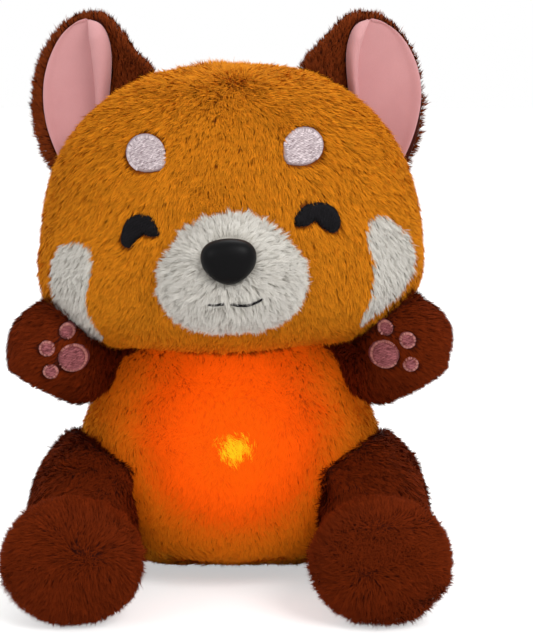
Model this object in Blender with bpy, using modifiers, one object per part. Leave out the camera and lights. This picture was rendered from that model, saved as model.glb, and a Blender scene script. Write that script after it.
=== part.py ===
"""A sitting stuffed animal with a lamp behind its belly, in metres with +Z up.

The toy faces -Y and its own left is +X.  The origin is on the floor, under the middle of the
torso.  Every stuffed solid is the outside of its plush pile.  The head, arms, legs, tail, back
flap and light button each hang from an empty that stands on their joint's axis.
"""

import math

import bmesh
import bpy
from mathutils import Matrix, Vector

MM = 0.001

# Clearances
FIT_GAP = 0.3 * MM
JOINT_GAP = 1.0 * MM
SWING_GAP = 1.2 * MM
OVERRUN = 6 * MM
FLAT_DEPTH = 0.5 * MM
WELD_GAP = 0.01 * MM

# Smoothing
SHARP_ANGLE = math.radians(40)
STUFFING_LEVELS = 1
BALL_SIDES = 18
BALL_RINGS = 10
ROD_SIDES = 20

# Torso: a pear that is widest at the belly
TORSO_HEIGHT = 115 * MM
TORSO_WIDTH = 156 * MM
TORSO_DEPTH = 134 * MM
TORSO_Y = -5 * MM
TORSO_SIDES = 16
TORSO_ROW_SHARES = (
    (0.0, 0.0, 0.0),
    (0.0, 0.24, 0.23),
    (0.0, 0.48, 0.46),
    (0.05, 0.67, 0.66),
    (0.17, 0.82, 0.82),
    (0.36, 0.91, 0.93),
    (0.54, 0.98, 1.0),
    (0.73, 1.0, 1.0),
    (0.86, 0.87, 0.85),
    (0.945, 0.64, 0.64),
    (0.995, 0.32, 0.32),
    (1.0, 0.0, 0.0),
)

# Neck: a ball on the torso and a socket in the head, on the nodding axis
NECK_X = 4 * MM
NECK_Y = -5 * MM
NECK_Z = 116 * MM
NECK_RADIUS = 34 * MM
NOD_FORWARD = math.radians(4)
NOD_BACK = math.radians(8)

# Head: wide and low, sewn on with a slight roll
HEAD_WIDTH = 198 * MM
HEAD_DEPTH = 150 * MM
HEAD_HEIGHT = 148 * MM
HEAD_LIFT = 4 * MM
HEAD_Y = -10 * MM
HEAD_ROLL = math.radians(2.5)
HEAD_SIDES = 16
HEAD_ROW_SHARES = (
    (0.0, 0.0, 0.0),
    (0.005, 0.34, 0.30),
    (0.05, 0.64, 0.60),
    (0.13, 0.86, 0.83),
    (0.22, 0.965, 0.95),
    (0.33, 1.0, 1.0),
    (0.47, 0.985, 1.0),
    (0.62, 0.93, 0.95),
    (0.75, 0.835, 0.83),
    (0.87, 0.66, 0.64),
    (0.96, 0.42, 0.39),
    (1.0, 0.0, 0.0),
)

# Muzzle: a stuffed pad, narrow at its top, in the head's own frame
MUZZLE_X = 1 * MM
MUZZLE_Z = 54 * MM
MUZZLE_WIDTH = 75 * MM
MUZZLE_HEIGHT = 59 * MM
MUZZLE_DEPTH = 54 * MM
MUZZLE_SINK = 1 * MM
MUZZLE_SIDES = 12
MUZZLE_ROW_SHARES = (
    (0.0, 0.0, 0.0),
    (0.01, 0.46, 0.36),
    (0.12, 0.80, 0.78),
    (0.33, 1.0, 1.0),
    (0.56, 0.96, 1.0),
    (0.78, 0.70, 0.80),
    (0.94, 0.36, 0.44),
    (1.0, 0.0, 0.0),
)

# Nose: a moulded rounded triangle with a stem and a lock washer
NOSE_Z = 63.5 * MM
NOSE_WIDTH = 26 * MM
NOSE_HEIGHT = 21.5 * MM
NOSE_DOME = 8.5 * MM
NOSE_SINK = 4.5 * MM
NOSE_TOP_SHARE = 0.16
NOSE_CORNER_SHARE = 0.05
NOSE_DOME_SHARES = ((1.0, 0.0), (1.04, 0.22), (0.95, 0.55), (0.74, 0.82), (0.42, 0.96))
NOSE_SIDES = 24
STEM_RADIUS = 2.2 * MM
STEM_LENGTH = 9 * MM
WASHER_RADIUS = 8 * MM
WASHER_THICKNESS = 1.6 * MM
WASHER_RIM = 1 * MM
MUZZLE_SKIN = 3 * MM

# Embroidery and set-in patches, in the head's own frame
PATCH_THICKNESS = 1.2 * MM
EYE_X = 42.5 * MM
EYE_Z = 72.5 * MM
EYE_HALF_SPAN = 10.5 * MM
EYE_RISE = 7.5 * MM
EYE_HALF_THICKNESS = 4.3 * MM
EYE_TIP_SHARE = 0.42
EYE_STEPS = 9
BROW_X = 37.7 * MM
BROW_Z = 112 * MM
BROW_RADIUS = 9.7 * MM
BROW_TAIL_SHARE = 0.36
BROW_TAIL_ANGLE = math.radians(-36)
BROW_TAIL_SPREAD = math.radians(28)
BROW_SIDES = 26
MOUTH_Z = 43 * MM
MOUTH_HALF_WIDTH = 15 * MM
MOUTH_SAG = 2.2 * MM
MOUTH_STROKE = 1.3 * MM
MOUTH_STEPS = 6
CHEEK_X = 76 * MM
CHEEK_Z = 46 * MM
CHEEK_WIDTH = 30 * MM
CHEEK_HEIGHT = 53 * MM
CHEEK_OUTLINE_SHARES = (
    (-0.34, 0.30),
    (-0.10, 0.50),
    (0.20, 0.40),
    (0.42, 0.19),
    (0.48, -0.02),
    (0.30, -0.24),
    (-0.02, -0.40),
    (-0.50, -0.50),
    (-0.30, -0.28),
    (-0.24, 0.0),
)
CHEEK_STEPS = 3

# Ears: a cupped shell of plush with a lining that is folded over on its inner side
EAR_X = 71 * MM
EAR_Y = -2 * MM
EAR_Z = 243 * MM
EAR_WIDTH = 68 * MM
EAR_HEIGHT = 97 * MM
EAR_THICKNESS = 8 * MM
EAR_CUP = 10 * MM
EAR_YAW = math.radians(14)
EAR_COLUMN_SHARES = (-1.0, -0.82, -0.55, -0.25, 0.05, 0.34, 0.60, 0.84, 1.0)
EAR_ROWS = 12
EAR_CUP_RISE_SHARE = 0.8
LINING_WIDTH = 41 * MM
LINING_HEIGHT = 84 * MM
LINING_OUT = 7 * MM
LINING_GAP = 0.5 * MM
LINING_THICKNESS = 1.4 * MM
LINING_FOLD = 6 * MM
LINING_FOLD_SHARE = 0.60
LINING_FOLD_FADE_SHARE = 0.6
LINING_COLUMN_SHARES = (-1.0, -0.80, -0.50, -0.18, 0.14, 0.40, 0.58, 0.66, 0.82, 1.0)

# Arms: raised to the sides, palms forward
SHOULDER_X = 46 * MM
SHOULDER_Y = -14 * MM
SHOULDER_Z = 109 * MM
SHOULDER_RADIUS = 19 * MM
ARM_REACH = 78 * MM
ARM_ROOT = 13 * MM
ARM_HEIGHT = 54 * MM
ARM_THICKNESS = 44 * MM
ARM_AIM_SHARES = (0.80, -0.50, 0.28)
ARM_DROP = math.radians(15)
ARM_SIDES = 12
ARM_ROW_SHARES = (
    (0.0, 0.0, 0.0),
    (0.05, 0.52, 0.52),
    (0.20, 0.84, 0.86),
    (0.42, 0.94, 0.96),
    (0.64, 1.0, 1.0),
    (0.82, 0.92, 0.90),
    (0.95, 0.58, 0.56),
    (1.0, 0.0, 0.0),
)

# Paw pads, about the middle of each palm
PALM_X = 77 * MM
PALM_Z = 125.5 * MM
PALM_RADIUS = 7.1 * MM
TOE_RADIUS = 3.9 * MM
TOE_REACH = 14 * MM
TOE_ANGLES = (math.radians(83), math.radians(27), math.radians(-27))
PAD_SIDES = 18

# Legs: stretched forward, turned about an upright axis at the hip
HIP_X = 62 * MM
HIP_Y = 0 * MM
HIP_Z = 44 * MM
HIP_RADIUS = 27 * MM
THIGH_ROOT = 36 * MM
THIGH_LENGTH = 96 * MM
THIGH_WIDTH = 76 * MM
THIGH_HEIGHT = 79 * MM
LEG_SPREAD = math.radians(15)
LEG_SIDES = 14
THIGH_ROW_SHARES = (
    (0.0, 0.0, 0.0),
    (0.04, 0.48, 0.48),
    (0.17, 0.86, 0.86),
    (0.38, 1.0, 1.0),
    (0.56, 0.98, 0.99),
    (0.74, 0.86, 0.88),
    (0.90, 0.68, 0.68),
    (1.0, 0.0, 0.0),
)

# Feet: round puffs whose soles face forward
FOOT_X = 74.5 * MM
FOOT_Y = -98 * MM
FOOT_WIDTH = 70 * MM
FOOT_HEIGHT = 64 * MM
FOOT_THICKNESS = 40 * MM
FOOT_SINK = 1.4 * MM
FOOT_ROW_SHARES = (
    (0.0, 0.0, 0.0),
    (0.03, 0.50, 0.50),
    (0.20, 0.88, 0.88),
    (0.48, 1.0, 1.0),
    (0.74, 0.95, 0.95),
    (0.95, 0.64, 0.64),
    (1.0, 0.0, 0.0),
)

# Tail: five sewn bands on the floor behind
TAIL_Y = 50 * MM
TAIL_Z = 17.5 * MM
TAIL_BALL = 12 * MM
TAIL_RADIUS = 16 * MM
TAIL_LENGTH = 88 * MM
TAIL_BAND_RADIUS_SHARES = (0.84, 0.93, 1.0, 0.97, 0.88)
TAIL_BULGE_SHARE = 0.93
TAIL_WAG = math.radians(18)
TAIL_SIDES = 22
TAIL_TIP_STEPS = 5

# Back opening: flap, hook tape and loop tape over the battery pocket
POCKET_WIDTH = 60 * MM
POCKET_HEIGHT = 55 * MM
POCKET_RISE_SHARE = 0.5913
POCKET_ROOM = 2.9 * MM
FLAP_MARGIN = 5 * MM
FLAP_THICKNESS = 3.5 * MM
FLAP_SWING_ROOM = 7 * MM
FLAP_CORNER = 5 * MM
TAPE_WIDTH = 46 * MM
TAPE_HEIGHT = 4.4 * MM
TAPE_THICKNESS = 1.1 * MM

# Battery case in the pocket, with three slim cells, a door and a push button
CASE_WIDTH = 56 * MM
CASE_WALL = 2 * MM
CASE_CORNER = 3 * MM
COVER_THICKNESS = 2 * MM
CELL_RADIUS = 5.25 * MM
CELL_LENGTH = 43.6 * MM
CELL_CAP_RADIUS = 1.9 * MM
CELL_CAP_HEIGHT = 0.9 * MM
CELL_PITCH = 11 * MM
CELL_SIDES = 20
CONTACT_THICKNESS = 0.5 * MM
CONTACT_DEPTH = 8 * MM
CONTACT_SPRING = 1.6 * MM
CONTACT_SPRING_RADIUS = 3 * MM
DOOR_THICKNESS = 2 * MM
DOOR_LIP = 1.2 * MM
DOOR_TAB = 9 * MM
DOOR_SCREW_DROP = 15 * MM
COVER_SCREW_REACH = 21 * MM
SCREW_RADIUS = 1.3 * MM
SCREW_HEAD_RADIUS = 2.4 * MM
SCREW_HEAD_HEIGHT = 1 * MM
SCREW_LENGTH = 6 * MM
SCREW_SLOT = 0.6 * MM
SCREW_SIDES = 16
BUTTON_RADIUS = 4 * MM
BUTTON_TRAVEL = 1 * MM
BUTTON_PROUD = 1.8 * MM
BUTTON_FLANGE = 1.1 * MM
BUTTON_CLEARANCE = 0.3 * MM
SWITCH_RISE = 8 * MM
SWITCH_SIZE = 6 * MM
SWITCH_HEIGHT = 3.5 * MM
SWITCH_STEM_RADIUS = 1.7 * MM
BOARD_THICKNESS = 1.6 * MM
BOARD_WIDTH = 12 * MM
BOARD_HEIGHT = 18 * MM

# Lamp behind the belly, and the lead that feeds it
LAMP_X = 3 * MM
LAMP_RISE_SHARE = 0.6957
LAMP_COVER = 17.7 * MM
LAMP_RADIUS = 19 * MM
LAMP_BASE_DEPTH = 10 * MM
LAMP_DOME = 8 * MM
LAMP_WALL = 1.6 * MM
LAMP_LEDGE = 4 * MM
LAMP_SIDES = 24
LAMP_DOME_STEPS = 5
LED_SIZE = 5 * MM
LED_HEIGHT = 1.6 * MM
LED_LENS_RADIUS = 1.7 * MM
LED_LENS_SIDES = 12
LEAD_RADIUS = 1.4 * MM
LEAD_HOLE = 2.2 * MM
LEAD_CHANNEL = 5.5 * MM
LEAD_STEPS = 15

SIDES = (("left", 1), ("right", -1))

for item in list(bpy.data.objects):
    bpy.data.objects.remove(item, do_unlink=True)

parts = bpy.data.collections.new("plush_night_light")
cutters = bpy.data.collections.new("cutters")
bpy.context.scene.collection.children.link(parts)
bpy.context.scene.collection.children.link(cutters)


def finish(name, colour, roughness, metallic=0.0):
    material = bpy.data.materials.new(name)
    material.use_nodes = True
    shader = material.node_tree.nodes["Principled BSDF"]
    shader.inputs["Base Color"].default_value = (*colour, 1)
    shader.inputs["Roughness"].default_value = roughness
    shader.inputs["Metallic"].default_value = metallic
    return material


ORANGE_PLUSH = finish("orange_plush", (0.53, 0.16, 0.011), 0.95)
BROWN_PLUSH = finish("brown_plush", (0.075, 0.011, 0.003), 0.95)
WHITE_PLUSH = finish("white_plush", (0.6, 0.58, 0.54), 0.95)
PINK_LINING = finish("pink_lining", (0.62, 0.3, 0.3), 0.8)
PAD_THREAD = finish("pad_thread", (0.26, 0.08, 0.08), 0.7)
WHITE_THREAD = finish("white_thread", (0.62, 0.52, 0.52), 0.7)
BLACK_THREAD = finish("black_thread", (0.006, 0.005, 0.004), 0.8)
NOSE_PLASTIC = finish("nose_plastic", (0.008, 0.007, 0.008), 0.3)
WHITE_PLASTIC = finish("white_plastic", (0.7, 0.7, 0.68), 0.4)
CLEAR_PLASTIC = finish("diffuser_plastic", (0.85, 0.8, 0.72), 0.35)
BOARD_RESIN = finish("board_resin", (0.03, 0.2, 0.06), 0.5)
AMBER_LIGHT = finish("amber_light", (1.0, 0.35, 0.03), 0.3)
BLACK_PLASTIC = finish("black_plastic", (0.02, 0.02, 0.02), 0.45)
CELL_JACKET = finish("cell_jacket", (0.1, 0.1, 0.11), 0.35)
STEEL = finish("steel", (0.6, 0.6, 0.6), 0.3, 1.0)
TAPE_NYLON = finish("tape_nylon", (0.08, 0.03, 0.02), 0.85)
LEAD_JACKET = finish("lead_jacket", (0.5, 0.02, 0.02), 0.5)


def empty(name, location, parent=None, rotation=(0, 0, 0)):
    item = bpy.data.objects.new(name, None)
    item.location = location
    item.rotation_euler = rotation
    item.parent = parent
    parts.objects.link(item)
    return item


def add_object(name, mesh, material=None, parent=None, location=(0, 0, 0), collection=None):
    item = bpy.data.objects.new(name, mesh)
    (collection or parts).objects.link(item)
    item.parent = parent
    item.location = location
    if material:
        item.data.materials.append(material)
        item.data.shade_smooth()
        item.data.set_sharp_from_angle(angle=SHARP_ANGLE)
    return item


def as_cutter(item):
    item.hide_render = True
    item.display_type = "WIRE"
    return item


def mesh_from(builder):
    """A mesh made by a function that fills an empty bmesh."""
    shape = bmesh.new()
    builder(shape)
    bmesh.ops.recalc_face_normals(shape, faces=shape.faces)
    mesh = bpy.data.meshes.new("shape")
    shape.to_mesh(mesh)
    shape.free()
    return mesh


def limit_share(sides):
    """How far a subdivided ring draws in from its cage, as a share of the cage's radius."""
    return (2 + math.cos(2 * math.pi / sides)) / 3


def stuffed_cage(row_shares, height, width, depth, sides):
    """A closed cage of elliptical rings along +Z, each a share of the height, width and depth."""
    swell = 1 / limit_share(sides)

    def build(shape):
        loops = []
        for height_share, width_share, depth_share in row_shares:
            level = height_share * height
            if width_share == 0:
                loops.append([shape.verts.new((0, 0, level))])
                continue
            loop = []
            for step in range(sides):
                angle = 2 * math.pi * step / sides
                across = math.cos(angle) * width_share * width / 2 * swell
                along = math.sin(angle) * depth_share * depth / 2 * swell
                loop.append(shape.verts.new((across, along, level)))
            loops.append(loop)
        for lower, upper in zip(loops, loops[1:]):
            for step in range(sides):
                after = (step + 1) % sides
                corners = [lower[step % len(lower)], lower[after % len(lower)]]
                corners += [upper[after % len(upper)], upper[step % len(upper)]]
                shape.faces.new(list(dict.fromkeys(corners)))

    return mesh_from(build)


def subdivide(item):
    modifier = item.modifiers.new("stuffing", "SUBSURF")
    modifier.levels = STUFFING_LEVELS
    modifier.render_levels = STUFFING_LEVELS
    return item


def boolean(item, cutter, operation):
    modifier = item.modifiers.new(operation.lower(), "BOOLEAN")
    modifier.operation = operation
    modifier.solver = "EXACT"
    modifier.object = cutter
    return item


def cut(item, *tools):
    for tool in tools:
        boolean(item, tool, "DIFFERENCE")
    return item


def grown(item, gap, name):
    """A cutter like the item as it is now, with its surface moved outwards by a gap."""
    copy = item.copy()
    copy.name = name
    cutters.objects.link(copy)
    offset = copy.modifiers.new("gap", "DISPLACE")
    offset.strength = gap
    offset.mid_level = 0
    return as_cutter(copy)


def turned_copy(cutter, pivot, axis, angle, name):
    """The same cutter, turned about an axis through a pivot in world space."""
    bpy.context.view_layer.update()
    copy = cutter.copy()
    copy.name = name
    cutters.objects.link(copy)
    copy.parent = None
    shift = Matrix.Translation(pivot)
    turn = Matrix.Rotation(angle, 4, axis)
    copy.matrix_world = shift @ turn @ shift.inverted() @ cutter.matrix_world
    return as_cutter(copy)


def ball(name, radius, location, sides=BALL_SIDES, rings=BALL_RINGS):
    mesh = mesh_from(lambda shape: bmesh.ops.create_uvsphere(
        shape, u_segments=sides, v_segments=rings, radius=radius))
    return as_cutter(add_object(name, mesh, None, None, location, cutters))


def box_mesh(size, corner):
    """A box of a size, with its four edges along Y rounded."""
    def build(shape):
        bmesh.ops.create_cube(shape, size=1)
        bmesh.ops.scale(shape, vec=size, verts=shape.verts)
        if corner:
            edges = []
            for edge in shape.edges:
                way = (edge.verts[0].co - edge.verts[1].co).normalized()
                if abs(way.y) > math.cos(SHARP_ANGLE):
                    edges.append(edge)
            bmesh.ops.bevel(shape, geom=edges, offset=corner, segments=3, affect="EDGES")

    return mesh_from(build)


def add_box(name, size, centre, material=None, corner=0.0):
    collection = parts if material else cutters
    item = add_object(name, box_mesh(size, corner), material, None, centre, collection)
    return item if material else as_cutter(item)


def add_rod(name, radius, start, end, parent=None, sides=ROD_SIDES):
    """A round cutter between two points."""
    start = Vector(start)
    end = Vector(end)
    mesh = mesh_from(lambda shape: bmesh.ops.create_cone(
        shape, cap_ends=True, segments=sides, radius1=radius, radius2=radius, depth=(end - start).length))
    item = add_object(name, mesh, None, parent, (start + end) / 2, cutters)
    item.rotation_euler = (end - start).to_track_quat("Z", "Y").to_euler()
    return as_cutter(item)


def turned(name, profile, sides, material, parent, location, aim):
    """A profile of (radius, height) points, top to bottom, turned about an axis that aims a way."""
    mesh = bpy.data.meshes.new(name)
    points = [(radius, 0, height) for radius, height in profile]
    mesh.from_pydata(points, [(step, step + 1) for step in range(len(points) - 1)], [])
    item = add_object(name, mesh, material, parent, location)
    item.rotation_euler = Vector(aim).to_track_quat("Z", "Y").to_euler()
    screw = item.modifiers.new("turn", "SCREW")
    screw.steps = sides
    screw.render_steps = sides
    screw.use_merge_vertices = True
    screw.merge_threshold = WELD_GAP
    screw.use_normal_calculate = False
    return item


def prism_mesh(outline, near, far):
    """An outline of (x, z) points as a solid between two places along Y."""
    def build(shape):
        front = [shape.verts.new((x, near, z)) for x, z in outline]
        back = [shape.verts.new((x, far, z)) for x, z in outline]
        shape.faces.new(front)
        shape.faces.new(list(reversed(back)))
        count = len(outline)
        for step in range(count):
            after = (step + 1) % count
            shape.faces.new((front[step], front[after], back[after], back[step]))

    return mesh_from(build)


def patch(name, outline, near, far, outer, inner, material, parent):
    """A thin piece of an outline that lies on a form, between two cutters grown from it."""
    item = add_object(name, prism_mesh(outline, near, far), material, parent)
    boolean(item, outer, "INTERSECT")
    return cut(item, inner)


def circle_outline(centre_x, centre_z, radius, sides):
    turns = [2 * math.pi * step / sides for step in range(sides)]
    return [(centre_x + radius * math.cos(turn), centre_z + radius * math.sin(turn)) for turn in turns]


def smooth_outline(points, steps):
    """A closed smooth curve through a few points."""
    count = len(points)
    curve = []
    for index in range(count):
        near = [Vector(points[(index + offset) % count]) for offset in (-1, 0, 1, 2)]
        before, start, end, after = near
        for step in range(steps):
            t = step / steps
            bend = (2 * start + (end - before) * t + (2 * before - 5 * start + 4 * end - after) * t * t
                    + (3 * start - before - 3 * end + after) * t ** 3)
            curve.append(tuple(bend / 2))
    return curve


def arch_outline(half_span, rise, half_thickness, tip_share, steps):
    """A thick arch whose ends are thinner than its middle."""
    upper = []
    lower = []
    for step in range(steps + 1):
        t = 2 * step / steps - 1
        middle = Vector((half_span * t, rise * (1 - t * t)))
        across = Vector((2 * rise * t / half_span, 1)).normalized()
        half = half_thickness * (tip_share + (1 - tip_share) * (1 - t * t))
        upper.append(middle + across * half)
        lower.append(middle - across * half)
    return [tuple(point) for point in upper + list(reversed(lower))]


def mirrored(outline, side):
    return [(side * x, z) for x, z in outline]


def drop_outline(radius, tail_share, tail_angle, tail_spread, sides):
    """A round spot with one soft corner."""
    points = []
    for step in range(sides):
        angle = 2 * math.pi * step / sides
        turn = math.remainder(angle - tail_angle, 2 * math.pi)
        reach = radius * (1 + tail_share * math.exp(-(turn / tail_spread) ** 2))
        points.append((reach * math.cos(angle), reach * math.sin(angle)))
    return points


def torso_half_depth(across, level):
    """Half the torso's depth at a distance from its middle plane and a height."""
    rows = TORSO_ROW_SHARES
    share = level / TORSO_HEIGHT
    for (low, low_width, low_depth), (high, high_width, high_depth) in zip(rows, rows[1:]):
        if low <= share <= high and high > low:
            rise = (share - low) / (high - low)
            half_width = (low_width + (high_width - low_width) * rise) * TORSO_WIDTH / 2
            half_depth = (low_depth + (high_depth - low_depth) * rise) * TORSO_DEPTH / 2
            return half_depth * math.sqrt(max(0, 1 - (across / half_width) ** 2))
    return 0


# Places in the battery pocket, from the torso's back inwards
cell_spread = 2 * CELL_PITCH + 2 * CELL_RADIUS
bay_width = cell_spread + 2 * FIT_GAP
bay_height = CELL_LENGTH + CELL_CAP_HEIGHT + CONTACT_SPRING + 2 * CONTACT_THICKNESS + 4 * FIT_GAP
case_height = bay_height + 2 * CASE_WALL
case_depth = CASE_WALL + 2 * CELL_RADIUS + 2 * FIT_GAP + DOOR_THICKNESS
pocket_z = POCKET_RISE_SHARE * TORSO_HEIGHT
case_top_depth = torso_half_depth(CASE_WIDTH / 2, pocket_z + case_height / 2)
case_bottom_depth = torso_half_depth(CASE_WIDTH / 2, pocket_z - case_height / 2)
case_back = TORSO_Y + min(case_top_depth, case_bottom_depth) - FLAP_THICKNESS - POCKET_ROOM
case_y = case_back - case_depth
cover_y = case_y - FIT_GAP - COVER_THICKNESS
pocket_floor_y = cover_y - FIT_GAP
bay_x = -CASE_WIDTH / 2 + CASE_WALL + bay_width / 2
bay_bottom = pocket_z - bay_height / 2
column_x = (bay_x + bay_width / 2 + CASE_WIDTH / 2) / 2
switch_z = pocket_z + SWITCH_RISE
back = Vector((0, 1, 0))

# Place of the lamp, from the belly's front inwards
lamp_z = LAMP_RISE_SHARE * TORSO_HEIGHT
lamp_length = LAMP_BASE_DEPTH + FIT_GAP + LAMP_DOME
lamp_y = TORSO_Y - torso_half_depth(LAMP_X, lamp_z) + LAMP_COVER + lamp_length

# Joint empties
neck = empty("neck_joint", (NECK_X, NECK_Y, NECK_Z))
head_frame = empty("head_frame", (0, 0, 0), neck, (0, -HEAD_ROLL, 0))


def make_torso():
    height = TORSO_HEIGHT + FLAT_DEPTH
    cage = stuffed_cage(TORSO_ROW_SHARES, height, TORSO_WIDTH, TORSO_DEPTH, TORSO_SIDES)
    item = add_object("torso", cage, ORANGE_PLUSH, None, (0, TORSO_Y, -FLAT_DEPTH))
    return subdivide(item)


def make_head():
    cage = stuffed_cage(HEAD_ROW_SHARES, HEAD_HEIGHT, HEAD_WIDTH, HEAD_DEPTH, HEAD_SIDES)
    item = add_object("head", cage, ORANGE_PLUSH, head_frame, (0, HEAD_Y, HEAD_LIFT))
    return subdivide(item)


torso = make_torso()
head = make_head()
torso_form = grown(torso, 0, "torso_form")
torso_swing = grown(torso, SWING_GAP, "torso_swing")
head_inner = grown(head, FIT_GAP, "head_inner")
head_outer = grown(head, FIT_GAP + PATCH_THICKNESS, "head_outer")
head_swing = grown(head, FIT_GAP + PATCH_THICKNESS + SWING_GAP, "head_swing")
floor = add_box("floor_cut", (HEAD_WIDTH * 2, HEAD_WIDTH * 2, HEAD_WIDTH), (0, 0, -HEAD_WIDTH / 2))

# Neck ball on the torso, socket in the head
neck_place = Vector((NECK_X, NECK_Y, NECK_Z))
neck_ball = ball("neck_ball", NECK_RADIUS, neck_place)
neck_socket = ball("neck_socket", NECK_RADIUS + JOINT_GAP, neck_place)
boolean(torso, neck_ball, "UNION")
cut(head, neck_socket)


def make_muzzle():
    """The white pad, with the room that the nose's washer and stem take."""
    cage = stuffed_cage(MUZZLE_ROW_SHARES, MUZZLE_HEIGHT, MUZZLE_WIDTH, MUZZLE_DEPTH, MUZZLE_SIDES)
    middle_y = HEAD_Y - HEAD_DEPTH / 2 + MUZZLE_SINK
    place = (MUZZLE_X, middle_y, MUZZLE_Z - MUZZLE_HEIGHT / 2)
    item = add_object("muzzle", cage, WHITE_PLUSH, head_frame, place)
    subdivide(item)
    return item, middle_y - MUZZLE_DEPTH / 2


muzzle, muzzle_front = make_muzzle()
muzzle_inner = grown(muzzle, FIT_GAP, "muzzle_inner")
muzzle_outer = grown(muzzle, FIT_GAP + PATCH_THICKNESS, "muzzle_outer")
cut(muzzle, head_inner)


def nose_point(angle, share):
    """A point on the nose's rounded triangle, wide at its top, at a share of its reach."""
    swell = 1 + NOSE_TOP_SHARE * math.sin(angle) - NOSE_CORNER_SHARE * math.sin(3 * angle)
    across = math.cos(angle) * swell * NOSE_WIDTH / 2
    up = math.sin(angle) * NOSE_HEIGHT / 2
    return across * share, up * share


def make_nose():
    """A domed cap on a stem that goes through the muzzle's skin into a lock washer."""
    cap_back = muzzle_front + NOSE_SINK

    def build(shape):
        loops = []
        for reach_share, height_share in NOSE_DOME_SHARES:
            loop = []
            for step in range(NOSE_SIDES):
                x, z = nose_point(2 * math.pi * step / NOSE_SIDES, reach_share)
                loop.append(shape.verts.new((x, -height_share * NOSE_DOME, z)))
            loops.append(loop)
        shape.faces.new(loops[0])
        tip = shape.verts.new((0, -NOSE_DOME, 0))
        for lower, upper in zip(loops, loops[1:]):
            for step in range(NOSE_SIDES):
                after = (step + 1) % NOSE_SIDES
                shape.faces.new((lower[step], lower[after], upper[after], upper[step]))
        for step in range(NOSE_SIDES):
            shape.faces.new((loops[-1][step], loops[-1][(step + 1) % NOSE_SIDES], tip))

    item = add_object("nose", mesh_from(build), NOSE_PLASTIC, head_frame, (MUZZLE_X, cap_back, NOSE_Z))
    seat = grown(item, FIT_GAP, "nose_seat")
    start = (MUZZLE_X, cap_back - NOSE_DOME / 2, NOSE_Z)
    end = (MUZZLE_X, cap_back + STEM_LENGTH, NOSE_Z)
    stem = add_rod("nose_stem", STEM_RADIUS, start, end, head_frame)
    boolean(item, stem, "UNION")

    washer_front = cap_back + FIT_GAP + MUZZLE_SKIN
    profile = [
        (STEM_RADIUS + FIT_GAP, WASHER_THICKNESS),
        (WASHER_RADIUS - WASHER_RIM, WASHER_THICKNESS),
        (WASHER_RADIUS, WASHER_THICKNESS / 2),
        (WASHER_RADIUS, 0),
        (STEM_RADIUS + FIT_GAP, 0),
        (STEM_RADIUS + FIT_GAP, WASHER_THICKNESS),
    ]
    turned("nose_washer", profile, NOSE_SIDES, WHITE_PLASTIC, head_frame,
           (MUZZLE_X, washer_front, NOSE_Z), (0, 1, 0))

    room = (MUZZLE_X, washer_front - FIT_GAP, NOSE_Z)
    room_end = (MUZZLE_X, cap_back + STEM_LENGTH + FIT_GAP, NOSE_Z)
    washer_room = add_rod("washer_room", WASHER_RADIUS + FIT_GAP, room, room_end, head_frame)
    bore_start = (MUZZLE_X, cap_back - OVERRUN, NOSE_Z)
    stem_bore = add_rod("stem_bore", STEM_RADIUS + FIT_GAP, bore_start, room_end, head_frame)
    return seat, stem_bore, washer_room


cut(muzzle, *make_nose())


def make_face():
    """Eyes, brows, mouth and cheeks, each a thin piece lying on the plush."""
    near = HEAD_Y - HEAD_DEPTH / 2 - MUZZLE_DEPTH
    far = HEAD_Y
    eye = arch_outline(EYE_HALF_SPAN, EYE_RISE, EYE_HALF_THICKNESS, EYE_TIP_SHARE, EYE_STEPS)
    brow = drop_outline(BROW_RADIUS, BROW_TAIL_SHARE, BROW_TAIL_ANGLE, BROW_TAIL_SPREAD, BROW_SIDES)
    cheek = [(x * CHEEK_WIDTH, z * CHEEK_HEIGHT) for x, z in CHEEK_OUTLINE_SHARES]
    cheek = smooth_outline(cheek, CHEEK_STEPS)
    for label, side in SIDES:
        shapes = (
            ("eye", EYE_X, EYE_Z, eye, BLACK_THREAD),
            ("brow", BROW_X, BROW_Z, mirrored(brow, -side), WHITE_THREAD),
            ("cheek", CHEEK_X, CHEEK_Z, mirrored(cheek, side), WHITE_PLUSH),
        )
        for spot, centre_x, centre_z, shape, material in shapes:
            outline = [(side * centre_x + x, centre_z + z) for x, z in shape]
            patch(f"{label}_{spot}", outline, near, far, head_outer, head_inner, material, head_frame)

    path = []
    for index in range(2 * MOUTH_STEPS + 1):
        t = index / MOUTH_STEPS - 1
        dip = MOUTH_SAG * math.sin(math.pi * abs(t)) - MOUTH_SAG * max(0, abs(t) - 0.5)
        path.append(Vector((MUZZLE_X + MOUTH_HALF_WIDTH * t, MOUTH_Z - dip)))
    upper = [point + Vector((0, MOUTH_STROKE / 2)) for point in path]
    lower = [point - Vector((0, MOUTH_STROKE / 2)) for point in path]
    stroke = [tuple(point) for point in upper + list(reversed(lower))]
    middle = far - HEAD_DEPTH / 2
    patch("mouth", stroke, near, middle, muzzle_outer, muzzle_inner, BLACK_THREAD, head_frame)


make_face()


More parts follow.
